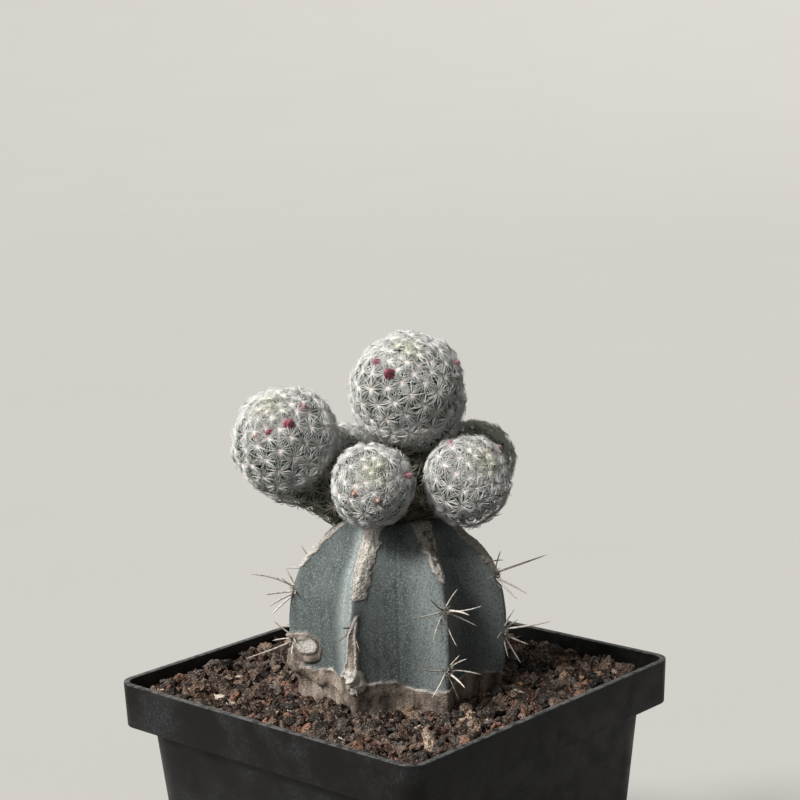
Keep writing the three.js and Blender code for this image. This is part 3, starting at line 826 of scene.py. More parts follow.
@dataclass(frozen=True)
class GrainFinish:
    """One kind of soil grain: two shades, chosen grain by grain, with a crumbly surface."""

    name: str
    dark: Colour
    light: Colour
    crumb: float = 0.35
    relief: float = 0.35
    # How much darker the pores are than the dark shade, and how much paler dust is than the light one.
    pore_share: float = 0.2
    dust_share: float = 1.9
    palest: float = 0.8

    def material(self) -> bpy.types.Material:
        """The tone mark picks a shade for each grain, and pores and dust break it up.

        Returns:
            The material.
        """
        sheet = NodeSheet(self.name, roughness=0.88, specular=0.3)
        shade = sheet.blend(sheet.mark("tone"), self.dark, self.light)
        pore = tuple(self.pore_share * part for part in self.dark)
        dust = tuple(min(self.palest, self.dust_share * part) for part in self.light)
        pored = sheet.blend(sheet.remap(sheet.noise(self.crumb, 3, 0.65), 0.54, 0.38), shade, pore)
        specks = sheet.remap(sheet.noise(0.4, 3, 0.6), 0.54, 0.68)
        dusty = sheet.blend(sheet.sums("MULTIPLY", specks, 0.55), pored, dust)
        return sheet.finished(dusty, sheet.bump(sheet.noise(self.crumb, 4, 0.7), self.relief))


@dataclass(frozen=True)
class FloorFinish:
    """A plain pale floor."""

    pale: Colour = (0.47, 0.46, 0.44)
    shade: Colour = (0.455, 0.445, 0.425)

    def material(self) -> bpy.types.Material:
        """Matt paint with a barely uneven tone."""
        sheet = NodeSheet("floor", roughness=0.85, specular=0.2)
        return sheet.finished(sheet.blend(sheet.noise(140, 2), self.pale, self.shade))


# The pot


@dataclass
class Pot:
    """A square plastic pot with a stepped rim band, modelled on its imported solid's box."""

    foot_half: float = 31.4
    band_height: float = 9.0
    band_step: float = 2.9
    band_taper: float = 0.3
    rim_corner: float = 4.0
    body_corner: float = 8.0
    wall: float = 1.2
    floor: float = 2.0
    drain_radius: float = 3.6
    drain_reach: float = 19.0
    drain_sides: int = 32
    # How far a block reaches into the one above it.
    overlap: float = 1.0
    corner_segments: int = 12
    # The rounding of the edges sharper than an angle in degrees, and the shading's own angle.
    edge: float = 0.32
    edge_segments: int = 3
    edge_angle: float = 40
    smooth_angle: float = 32

    def block(
        self, name: str, low: tuple[float, float], high: tuple[float, float], corner: float
    ) -> bpy.types.Object:
        """A square block with round upright edges, wider at its top than at its bottom.

        Args:
            name: The object's name.
            low: Half width and height of its bottom.
            high: Half width and height of its top.
            corner: Radius of its upright edges at the bottom.

        Returns:
            The block, its place in its mesh.
        """
        deselect_all()
        depth = high[1] - low[1]
        middle = (low[1] + high[1]) / 2
        bpy.ops.mesh.primitive_cube_add(size=1, location=(0, 0, middle * MM))
        item = bpy.context.object
        item.name = name
        item.scale = (2 * low[0] * MM, 2 * low[0] * MM, depth * MM)
        bpy.ops.object.transform_apply(location=True, rotation=False, scale=True)
        flat = depth * MM / 2
        self.choose(item, "EDGE", lambda ends: abs(ends[0].z - ends[-1].z) > flat)
        bpy.ops.mesh.bevel(offset=corner * MM, segments=self.corner_segments, affect="EDGES")
        bpy.ops.object.mode_set(mode="OBJECT")
        top = high[1] * MM
        self.choose(item, "FACE", lambda ends: min(end.z for end in ends) > top - flat)
        widen = high[0] / low[0]
        bpy.ops.transform.resize(value=(widen, widen, 1), center_override=(0, 0, top))
        bpy.ops.object.mode_set(mode="OBJECT")
        return item

    @staticmethod
    def choose(item: bpy.types.Object, kind: str, wanted: Callable[[list], bool]) -> None:
        """Selects only the edges or faces whose corners pass a test, and stays in edit mode.

        Args:
            item: The active object.
            kind: EDGE or FACE.
            wanted: The test, which is given the places of an element's corners.
        """
        bpy.ops.object.mode_set(mode="EDIT")
        bpy.ops.mesh.select_mode(type=kind)
        bpy.ops.mesh.select_all(action="DESELECT")
        bpy.ops.object.mode_set(mode="OBJECT")
        for element in item.data.edges if kind == "EDGE" else item.data.polygons:
            element.select = wanted([item.data.vertices[i].co for i in element.vertices])
        bpy.ops.object.mode_set(mode="EDIT")

    @staticmethod
    def combine(item: bpy.types.Object, tool: bpy.types.Object, how: str) -> None:
        """Joins a tool to an object or cuts it out, and removes the tool.

        Args:
            item: The object that is kept.
            tool: The object that is used up.
            how: UNION or DIFFERENCE.
        """
        deselect_all()
        bpy.context.view_layer.objects.active = item
        item.select_set(True)
        cut = item.modifiers.new("combine", "BOOLEAN")
        cut.operation = how
        cut.object = tool
        cut.solver = "EXACT"
        bpy.ops.object.modifier_apply(modifier=cut.name)
        bpy.data.objects.remove(tool)

    def drain(self, x: float, y: float) -> bpy.types.Object:
        """A round cutter for one drain hole.

        Args:
            x: Its place in millimetres.
            y: Its place in millimetres.

        Returns:
            The cutter.
        """
        deselect_all()
        bpy.ops.mesh.primitive_cylinder_add(
            vertices=self.drain_sides, radius=self.drain_radius * MM, depth=3 * self.floor * MM,
            location=(x * MM, y * MM, 0),
        )
        bpy.ops.object.transform_apply(location=True, rotation=False, scale=False)
        return bpy.context.object

    def build(self, material: bpy.types.Material) -> None:
        """Models the pot as it is moulded: a tapered body under a band, hollowed, with drain holes.

        Args:
            material: The plastic.
        """
        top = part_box("pot")[1]
        half, height = top.x / MM, top.z / MM
        band_bottom = height - self.band_height
        band_half = half - self.band_taper
        body_half = half - self.band_step
        foot_corner = self.body_corner * self.foot_half / body_half
        pot = self.block(
            "pot_shell", (self.foot_half, 0), (body_half, band_bottom + self.overlap), foot_corner
        )
        band = self.block("band", (band_half, band_bottom), (half, height), self.rim_corner)
        self.combine(pot, band, "UNION")
        well = self.block(
            "well", (self.foot_half - self.wall, self.floor),
            (body_half - self.wall, band_bottom + self.wall + self.overlap), foot_corner - self.wall,
        )
        self.combine(pot, well, "DIFFERENCE")
        mouth = self.block(
            "mouth", (band_half - self.wall, band_bottom + self.wall),
            (half - self.wall, height + self.overlap), self.rim_corner - self.wall,
        )
        self.combine(pot, mouth, "DIFFERENCE")
        reach = self.drain_reach / math.sqrt(2)
        for x, y in [(0, 0), *product((-reach, reach), repeat=2)]:
            self.combine(pot, self.drain(x, y), "DIFFERENCE")
        soften = pot.modifiers.new("soft edges", "BEVEL")
        soften.width = self.edge * MM
        soften.segments = self.edge_segments
        soften.limit_method = "ANGLE"
        soften.angle_limit = math.radians(self.edge_angle)
        bpy.ops.object.modifier_apply(modifier=soften.name)
        bpy.ops.object.shade_smooth_by_angle(angle=math.radians(self.smooth_angle))
        finish_piece(pot, Slot.PLASTIC, material, "pot")


# The stock


@dataclass(frozen=True)
class Patch:
    """A capsule-shaped patch on the stock, between two places given as bearing and height."""

    start: tuple[float, float]
    end: tuple[float, float]
    widths: tuple[float, float]
    # Radius of the stock at which the way between the two places is measured.
    way_radius: float = 20

    def distance(self, bearing: np.ndarray, height: np.ndarray, radius: np.ndarray) -> np.ndarray:
        """Millimetres to the patch's edge along the skin, below zero inside it.

        Args:
            bearing: Degrees round the stock's axis.
            height: Millimetres above the rim.
            radius: The stock's radius there.

        Returns:
            A distance for each place.
        """
        across = np.radians(turn_between(bearing, self.start[0])) * radius
        span = math.radians(turn_between(self.end[0], self.start[0]))
        way = np.array([span * self.way_radius, self.end[1] - self.start[1]])
        up = height - self.start[1]
        share = np.clip((across * way[0] + up * way[1]) / (way @ way), 0, 1)
        width = self.widths[0] + share * (self.widths[1] - self.widths[0])
        return np.hypot(across - share * way[0], up - share * way[1]) - width


@dataclass
class Stock:
    """The ribbed grafting stock: waxy skin, healed cork, and the spines of its areoles."""

    ribs: tuple[float, ...] = (42, 94, 146, 198, 248, 300, 350)
    # How strong the pale bloom is on each rib.
    blooms: tuple[float, ...] = (0.6, 0.6, 0.6, 1.3, 0.42, 0.5, 0.6)
    # Height above the rim and radius at the rib crests.
    outline: tuple[tuple[float, float], ...] = (
        (-16, 12), (-12, 17), (-6, 20.2), (-2.5, 20.6), (1.2, 20.8), (1.9, 21.4), (5, 21.8), (9.5, 22.1),
        (14, 22.1), (18, 21.6), (20.5, 20.9), (23.4, 19.6), (25.6, 18.2), (27.7, 16.4), (29.5, 14.1),
        (31.5, 12), (33, 9.4),
    )
    # Share of the crest radius from a crest (0) to the furrow beside it (1).
    rib: tuple[tuple[float, float], ...] = (
        (0, 1), (0.05, 0.985), (0.12, 0.948), (0.3, 0.87), (0.52, 0.812), (0.72, 0.782),
        (0.87, 0.77), (1, 0.767),
    )
    # The outline is rounded over this length, in so many steps, with so many more at each end.
    outline_rounding: float = 0.7
    outline_steps: int = 600
    outline_margin: int = 60
    # The furrows grow from a share of their depth in the soil, and lose most of it at the top.
    low_furrow: tuple[float, float] = (-14, 6)
    low_share: float = 0.35
    top_furrow: float = 27
    top_loss: float = 0.8
    # Crests and furrows are rounded over this many degrees, in so many steps.
    rib_rounding: float = 0.9
    rib_steps: int = 9
    # Heights over which the healed crests grow blunt, and how far round the crest they are.
    shoulder: tuple[float, float] = (18, 26)
    shoulder_share: float = 0.2
    shoulder_edge: float = 1.005
    # The skin's grid: its columns stand closest together at one bearing, and its rows near the top.
    columns: int = 430
    rows: int = 218
    finest: float = 195
    column_swing: float = 25
    row_power: float = 0.82
    # Bearing and height of the collar's upper edge.
    collar: tuple[tuple[float, float], ...] = (
        (0, 2.0), (40, 2.6), (80, 1.6), (120, 3.2), (140, 3.6), (148, 4.4), (154, 4.1),
        (165, 4.9), (172, 5.3), (176, 4.7), (180.5, 3.7), (184, 4.6), (190, 5.2), (197, 5.0),
        (207, 4.4), (221, 4.4), (226, 3.3), (233, 2.6), (243, 2.4), (249, 2.9), (256, 3.4),
        (275, 3.6), (292, 2.6), (300, 1.4), (330, 1.4), (360, 2.0),
    )
    # The healed cork on the rib shoulders.
    strips: tuple[Patch, ...] = (
        Patch((198, 34), (201, 22), (2.1, 1.1)),
        Patch((256, 34), (250.5, 25.6), (2.3, 1.8)),
        Patch((146, 34), (146, 25), (1.5, 0.9)),
        Patch((298.9, 34), (299.4, 22.4), (1.9, 1.0)),
        Patch((350, 34), (350, 24), (1.5, 1.0)),
        Patch((42, 34), (42, 25.5), (1.5, 1.1)),
        Patch((94, 34), (94, 23), (1.5, 1.0)),
    )
    # The part of the second strip that is full of dark pits.
    pits: Patch = Patch((254.6, 31), (250.4, 25.4), (1.6, 1.4))
    # The long ridge on the front rib, and the knob at its foot.
    bone: tuple[Patch, ...] = (
        Patch((200.6, 17.8), (199, 14.8), (0.3, 0.8)),
        Patch((198.9, 14.8), (198.3, 9.6), (0.85, 1.1)),
        Patch((198.3, 9.6), (196, 7.0), (1.1, 1.9)),
        Patch((196, 7.0), (186, 5.0), (0.9, 0.4)),
    )
    knob: Patch = Patch((197.4, 6.0), (197.2, 4.6), (2.1, 2.45))
    knob_height: float = 0.85
    # The pup's scar: the middle and radius of its disc, and the mound round it, whose middle lies
    # lower and which leans back to the left.
    scar: tuple[float, float] = (156.4, 9.1)
    scar_drop: float = 0.8
    scar_mound: float = 2.9
    scar_height: float = 1.05
    scar_lean: float = 0.42
    scar_core: float = 1.4
    # Lumps of healed tissue beside the scar, and how high each one rises.
    lumps: tuple[tuple[Patch, float], ...] = (
        (Patch((146.5, 7.0), (149, 4.6), (1.0, 1.5)), 1.2),
        (Patch((146.5, 10.6), (154, 10.9), (0.6, 0.9)), 0.8),
        (Patch((150.5, 8.6), (151.5, 6.2), (1.1, 1.3)), 0.5),
        (Patch((152, 3.6), (160, 2.4), (1.3, 1.7)), 0.9),
    )
    # A fold of the collar's bark.
    fold: Patch = Patch((174, 2.4), (196, -1.0), (0.2, 0.2))
    # Bearing at which the collar's edge has no pale lip.
    lip_gap: float = 224
    # Bearing about which shade is painted on the collar's bark.
    bark_shade_bearing: float = 210
    axis: np.ndarray = field(default_factory=lambda: np.zeros(3))

    def __post_init__(self) -> None:
        """Finds the stock's axis and the rim's height from the frame."""
        low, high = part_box("graft_union")
        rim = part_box("pot")[1].z
        self.axis = np.array([(low.x + high.x) / 2, (low.y + high.y) / 2, rim]) / MM

    def crest(self, height: np.ndarray) -> np.ndarray:
        """Radius at the rib crests for heights above the rim, without the outline's corners.

        Args:
            height: Millimetres above the rim.

        Returns:
            A radius for each height.
        """
        heights, radii = np.array(self.outline).T
        fine = np.linspace(heights[0], heights[-1], self.outline_steps)
        margin = self.outline_margin
        spread = np.arange(-margin, margin + 1) * (fine[1] - fine[0])
        weights = np.exp(-((spread / self.outline_rounding) ** 2) / 2)
        padded = np.pad(np.interp(fine, heights, radii), margin, mode="reflect", reflect_type="odd")
        return np.interp(height, fine, np.convolve(padded, weights / weights.sum(), mode="valid"))

    def rib_depth(self, height: np.ndarray) -> np.ndarray:
        """How far the furrows are cut in: little in the soil and at the top."""
        low = self.low_share + (1 - self.low_share) * smoothstep(height, *self.low_furrow)
        return low * (1 - self.top_loss * smoothstep(height, self.top_furrow, self.outline[-1][0]))

    def share_of_rib(self, bearing: np.ndarray) -> tuple[np.ndarray, np.ndarray, np.ndarray]:
        """Finds where bearings lie between the ribs.

        Args:
            bearing: Degrees round the stock's axis.

        Returns:
            The share from crest to furrow, half the span between the crests in degrees, and the share
            of the whole span.
        """
        crests = np.array(self.ribs, float)
        following = np.roll(crests, -1)
        following[-1] += 360
        local = (bearing - crests[0]) % 360 + crests[0]
        index = np.searchsorted(crests, local, side="right") - 1
        span = following[index] - crests[index]
        way = (local - crests[index]) / span
        return np.minimum(2 * way, 2 - 2 * way), span / 2, way

    def form(self, bearing: np.ndarray, height: np.ndarray) -> np.ndarray:
        """The stock's radius with straight flanks between its crests and furrows.

        Args:
            bearing: Degrees round the stock's axis.
            height: Millimetres above the rim.

        Returns:
            A radius for each place.
        """
        share, half, _ = self.share_of_rib(bearing)
        knots, sizes = np.array(self.rib).T
        index = np.clip(np.searchsorted(knots, share, side="right") - 1, 0, len(knots) - 2)
        depth = self.rib_depth(height)
        factors = 1 - (1 - sizes[:, None]) * depth[None]
        blunted = (knots > 0) & (knots < self.shoulder_share)
        blunt = smoothstep(height, *self.shoulder)
        factors[blunted] += blunt * (self.shoulder_edge - factors[blunted])
        rows = np.arange(len(bearing))
        near, far = factors[index, rows], factors[index + 1, rows]
        start = np.radians(knots[index] * half)
        end = np.radians(knots[index + 1] * half)
        here = np.radians(share * half)
        chord = near * np.sin(here - start) + far * np.sin(end - here)
        return near * far * np.sin(end - start) / np.where(chord == 0, 1, chord) * self.crest(height)

    def radius(self, bearing: np.ndarray, height: np.ndarray) -> np.ndarray:
        """The stock's radius with its crests and furrows rounded over a few degrees.

        Args:
            bearing: Degrees round the stock's axis.
            height: Millimetres above the rim.

        Returns:
            A radius for each place.
        """
        steps = np.linspace(-2, 2, self.rib_steps)
        weights = np.exp(-(steps**2) / 2)
        turns = self.rib_rounding * steps
        total = sum(w * self.form(bearing + turn, height) for turn, w in zip(turns, weights))
        return total / weights.sum()

    def body(self, material: bpy.types.Material) -> None:
        """Makes the skin from a fine grid wrapped round the axis.

        Args:
            material: The skin with its cork.
        """
        low, high = self.outline[0][0], self.outline[-1][0]
        marks: dict[str, np.ndarray] = {}

        def place(around: np.ndarray, along: np.ndarray) -> np.ndarray:
            """The skin and its cork, with a point at each end.

            Args:
                around: Shares of the way round.
                along: Shares of the way from the first end to the last.

            Returns:
                Their places in millimetres.
            """
            row = along * self.rows
            closing = (row < 0.5) | (row > self.rows - 0.5)
            share = np.clip((row - 1) / (self.rows - 2), 0, 1)
            height = low + (high - low) * share**self.row_power
            swing = np.sin(2 * math.pi * (around - self.finest / 360))
            bearing = 360 * around - self.column_swing * swing
            radius = self.radius(bearing, height)
            cork = CorkMap(self, bearing, height, radius)
            marks.update(cork.marks())
            reach = np.where(closing, 0, radius + cork.rise())
            return self.axis + along_bearing(bearing) * reach[:, None] + upward(height)

        item = wrapped_sheet("stock_body", self.columns, self.rows, place)
        for name, values in marks.items():
            set_mark(item, name, values)
        close_sheet(item)
        finish_piece(item, Slot.SKIN, material, "stock")


class CorkMap:
    """Where cork lies on a set of places on the stock, how it rises and how it is coloured."""

    # How far the edges of each kind of cork are torn, by the ragged noise.
    STRIP_TEAR = 1.2
    BONE_TEAR = 0.35
    KNOB_TEAR = 0.6
    LUMP_TEAR = 0.9
    COLLAR_TEAR = 0.9
    PUP_TEAR = 0.5
    # The size of each noise's bumps, and its seed.
    BROAD = (3.2, 5)
    RAGGED = (1.3, 3)
    COARSE = (0.9, 8)
    FINE = (0.55, 15)
    WRINKLES = (1.6, 11)
    WORN = (2.4, 29)
    RAGGED_HEIGHT = 0.32
    # The scar's disc is taller than it is wide, and so is the mound round it.
    DISC_STRETCH = 0.82
    MOUND_STRETCH = 1.35
    # How far parts rise over the bare form or sink into it, in millimetres.
    HEALED_RISE = 0.10
    EDGE_RISE = 0.16
    GRAIN_RISE = 0.10
    RIM_RISE = 0.5
    RIDGE_RISE = 0.1
    FOLD_RISE = 0.6
    CREASE_DEPTH = 0.1
    DISC_DEPTH = 0.2
    CRESCENT_DEPTH = 0.5
    # How strong the painted shade is in the furrows, the hollow beside the ridge and on the collar's bark,
    # how strong the crescent's painted shadow is, and how dark the pits are.
    FURROW_SHADE = 0.08
    HOLLOW_SHADE = 0.4
    CRESCENT_SHADOW = 0.95
    BARK_SHADE = 0.4
    PIT_STAIN = 0.85

    def __init__(
        self, stock: Stock, bearing: np.ndarray, height: np.ndarray, radius: np.ndarray
    ) -> None:
        """Measures the distances to the edges of the cork, which are below zero inside it.

        Args:
            stock: The stock that has the cork.
            bearing: Degrees round the stock's axis.
            height: Millimetres above the rim.
            radius: The bare form's radius there.
        """
        self.stock, self.bearing, self.height, self.radius = stock, bearing, height, radius
        self.spot = along_bearing(bearing) * radius[:, None] + upward(height)
        self.coarse, self.fine, self.broad = (
            fractal_noise(self.spot, *noise) for noise in (self.COARSE, self.FINE, self.BROAD)
        )
        self.ragged = self.RAGGED_HEIGHT * fractal_noise(self.spot, *self.RAGGED)
        self.strip = self.edge_of(stock.strips, self.STRIP_TEAR) + 0.16 * self.coarse
        self.bone = self.edge_of(stock.bone, self.BONE_TEAR)
        self.knob = self.edge_of([stock.knob], self.KNOB_TEAR)
        self.lump = self.edge_of([patch for patch, _ in stock.lumps], self.LUMP_TEAR)
        edge = np.interp(bearing % 360, *np.array(stock.collar).T)
        self.collar = height - edge + self.COLLAR_TEAR * self.ragged
        self.aside = np.radians(turn_between(bearing, stock.scar[0])) * radius
        self.above = height - stock.scar[1]
        self.scar = np.hypot(self.aside, self.DISC_STRETCH * self.above)
        self.pup = np.hypot(self.MOUND_STRETCH * self.aside, self.above + stock.scar_drop)
        pup = self.pup - stock.scar_mound + self.PUP_TEAR * self.ragged
        self.distance = np.min([self.strip, self.bone, self.knob, self.collar, pup, self.lump], axis=0)
        self.inside = smoothstep(-self.distance, -0.12, 0.25)
        self.furrow = smoothstep(stock.share_of_rib(bearing)[0], 0.9, 1.0) * (1 - self.inside)
        # The scar's disc, and the crescent that lies under it on the right, which is sunk in and darkened
        # with painted shadow.
        self.core = smoothstep(stock.scar_core - self.scar, -0.1, 0.25)
        low_right = (0.85 * self.aside - 0.52 * self.above) / np.maximum(self.scar, 0.01)
        self.crescent = bell(self.scar, stock.scar_core + 0.2, 0.26) * smoothstep(low_right, 0.0, 0.7)

    def edge_of(self, patches: Sequence[Patch], tear: float) -> np.ndarray:
        """Distance to the torn edge of the nearest patch."""
        gaps = [patch.distance(self.bearing, self.height, self.radius) for patch in patches]
        return np.min(gaps, axis=0) + tear * self.ragged

    def rise(self) -> np.ndarray:
        """How far the surface stands out over the bare form.

        Returns:
            Millimetres for each place.
        """
        edge = self.EDGE_RISE * bell(self.distance, -0.35, 0.32)
        healed = self.inside * (self.HEALED_RISE + 0.14 * self.broad) + edge
        return healed + self.strip_rise() + self.knob_rise() + self.scar_rise() + self.collar_rise()

    def strip_rise(self) -> np.ndarray:
        """The grains of the strips, the raised rim of the long ridge, and a crease in the furrows.

        Returns:
            Millimetres for each place.
        """
        grain = self.GRAIN_RISE + 0.15 * self.coarse + 0.17 * self.fine
        grains = smoothstep(-self.strip, 0, 0.5) * grain
        rim = self.RIM_RISE * bell(self.bone, -0.22, 0.26)
        ridge = rim + self.RIDGE_RISE * smoothstep(-self.bone, 0.3, 0.8)
        return grains + ridge - self.CREASE_DEPTH * self.furrow

    def knob_rise(self) -> np.ndarray:
        """The domed knob and the healed lumps beside the scar.

        Returns:
            Millimetres for each place.
        """
        deep = np.clip(-self.knob / self.stock.knob.widths[1], 0, 1)
        rough = 0.3 * self.coarse + 0.2 * self.fine
        dome = self.stock.knob_height * np.sqrt(deep * (2 - deep))
        rise = dome + smoothstep(-self.knob, 0, 0.8) * rough
        for patch, high in self.stock.lumps:
            depth = -patch.distance(self.bearing, self.height, self.radius) / max(patch.widths)
            rise += high * np.sqrt(np.clip(depth + 0.5 * self.ragged, 0, 1))
        return rise + smoothstep(-self.lump, 0, 0.8) * 0.2 * self.coarse

    def scar_rise(self) -> np.ndarray:
        """The leaning mound of the pup's scar, with the disc and the crescent sunk into it.

        Returns:
            Millimetres for each place.
        """
        stock = self.stock
        mound = np.clip(1 - ((self.pup + 0.4 * self.ragged) / stock.scar_mound) ** 4, 0, 1)
        high = np.clip(stock.scar_height - stock.scar_lean * self.aside, 0, 2)
        uneven = 0.2 * self.broad * smoothstep(stock.scar_mound - self.pup, 0, 1) * (1 - self.core)
        leaning = np.sqrt(mound) * high
        return leaning - self.CRESCENT_DEPTH * self.crescent - self.DISC_DEPTH * self.core + uneven

    def collar_rise(self) -> np.ndarray:
        """The upright wrinkles of the collar and its fold.

        Returns:
            Millimetres for each place.
        """
        fold = self.stock.fold.distance(self.bearing, self.height, self.radius)
        wrinkles = fractal_noise(self.spot * np.array([1, 1, 0.35]), *self.WRINKLES)
        bark = smoothstep(-self.collar, 0.2, 1.2) * (0.16 * wrinkles + 0.2 * self.broad)
        return self.FOLD_RISE * bell(fold, -0.2, 0.8) + bark

    def lip(self) -> np.ndarray:
        """The pale lip at the edge of the ridge and the collar, and the pale tops of disc and knob.

        Returns:
            A share from 0 to 1 for each place.
        """
        plain = np.maximum.reduce([
            smoothstep(-self.strip, 0, 0.5), smoothstep(self.stock.scar_mound - self.pup, -0.5, 0.2),
            smoothstep(-self.knob, 0.2, 0.6), 0.6 * smoothstep(-self.lump, -0.3, 0.3),
        ])
        worn = 0.9 * smoothstep(fractal_noise(self.spot, *self.WORN), 0.2, -0.2)
        faint = np.maximum(worn, bell(self.bearing, self.stock.lip_gap, 4))
        faint = faint * smoothstep(-self.collar, -0.3, 0.3)
        lip = 0.9 * bell(self.distance, -0.28, 0.22) * (1 - plain) * (1 - faint)
        knobby = smoothstep(-self.knob, 0, 0.4) * (0.45 + 0.4 * self.coarse)
        return np.maximum.reduce([lip, 0.9 * self.core, knobby])

    def bloom_and_lit_flank(self) -> np.ndarray:
        """The pale bloom along the crests, made stronger on their left flanks, which face the lamps, as
        painted light.

        Returns:
            A share from 0 to 1 for each place.
        """
        share, _, way = self.stock.share_of_rib(self.bearing)
        turns = turn_between(self.bearing[:, None], np.array(self.stock.ribs))
        strength = np.array(self.stock.blooms)[np.abs(turns).argmin(axis=1)]
        # The left flanks face the lamps: their stronger bloom is painted light.
        flank = np.where(way > 0.5, 1.0, 0.2)
        return np.minimum(1, flank * strength * smoothstep(share, 0.9, 0.2))

    def stain_and_shade(self) -> np.ndarray:
        """Dark places: painted shade in the furrows, in a hollow beside the ridge and on the collar's bark,
        the crescent's painted shadow, and dark pits.

        Returns:
            A share from 0 to 1 for each place.
        """
        # The furrows, the hollow, the crescent and the shaded bark get painted shade and shadow; the pits
        # are the cork's own dark.
        hollow = bell(self.bone, 0.35, 0.4) * smoothstep(self.height, 14, 17)
        shaded = smoothstep(-self.collar, 0, 0.8) * bell(self.bearing, self.stock.bark_shade_bearing, 11)
        pits = self.stock.pits.distance(self.bearing, self.height, self.radius)
        pitted = smoothstep(-pits, 0, 0.5) * smoothstep(self.coarse + 0.6 * self.fine, -0.1, 0.2)
        return np.maximum.reduce([
            self.FURROW_SHADE * self.furrow, self.HOLLOW_SHADE * hollow,
            self.CRESCENT_SHADOW * self.crescent, self.BARK_SHADE * shaded, self.PIT_STAIN * pitted,
        ])

    def marks(self) -> dict[str, np.ndarray]:
        """The marks that the material reads, by name.

        Returns:
            For each mark, one value for each place.
        """
        return {
            "cork": smoothstep(-self.distance, -0.1, 0.12),
            "lip": self.lip(),
            "coarse": np.maximum(smoothstep(-self.strip, 0, 0.4), smoothstep(-self.knob, 0, 0.6)),
            "bloom_and_lit_flank": self.bloom_and_lit_flank(),
            "stain_and_shade": self.stain_and_shade(),
        }


class SpineSet(Enum):
    """Spine clusters of the stock: each spine is its tip's millimetres sideways, up and out."""

    WHEEL = (
        (-8, 0.5, 1.5), (-4.4, 3.8, 2), (1.3, 5, 2.5), (6.2, 1.1, 3), (2.3, 0.3, 5),
        (5.3, -2.9, 2.5), (1.1, -6.4, 2), (-3.9, -4.5, 2),
    )
    FAN = (
        (-6.4, 2.1, 1.5), (1.4, 3.6, 2), (2.7, 2.8, 2.5), (5.8, -0.9, 2.5), (1.1, -2.1, 4.5),
        (1.3, -5.5, 1.5), (-4.5, -4, 1.5),
    )
    LANCE = (
        (1, 4.2, 9.7), (-2, -3.1, 6), (-3, -4, 4.2), (-1, 5.3, 0.8), (-5, 4.7, -0.2),
        (-7, 1.2, -1.2), (-1, -2.5, 0.8),
    )
    SPRAY = (
        (1, 2.1, 8.9), (-5.5, 0.2, -0.9), (-1.5, -4.9, 0.5), (-1.5, -6, 3), (2, -3.2, 4.2),
        (1, 4.5, 1.7), (2.5, 1.8, 2), (-1, 3.2, 0.8),
    )
    HOOK = (
        (0, 4.1, 8.4), (1, 3.1, 2.3), (1, -0.1, 5.7), (2, -2.2, 5), (0, -4.5, 4.3),
        (-1, 3.4, 0.7), (-2, 4.6, 1), (4, 0.5, 0.1),
    )
    SPARSE = ((2, -2.5, 9.3), (0, 4.1, 3.3), (4.5, 0.6, -0.3), (2, -3.2, 0.3), (-3, -1, 3))
    STUBS = ((-1.2, 0.8, 1.2), (2.6, -3.6, 1.6), (-2.4, -2.2, 1.2))
    KNOB = ((-1.5, 0, 1.5), (1.5, -2, 1.2), (0.4, 3, 0.8))


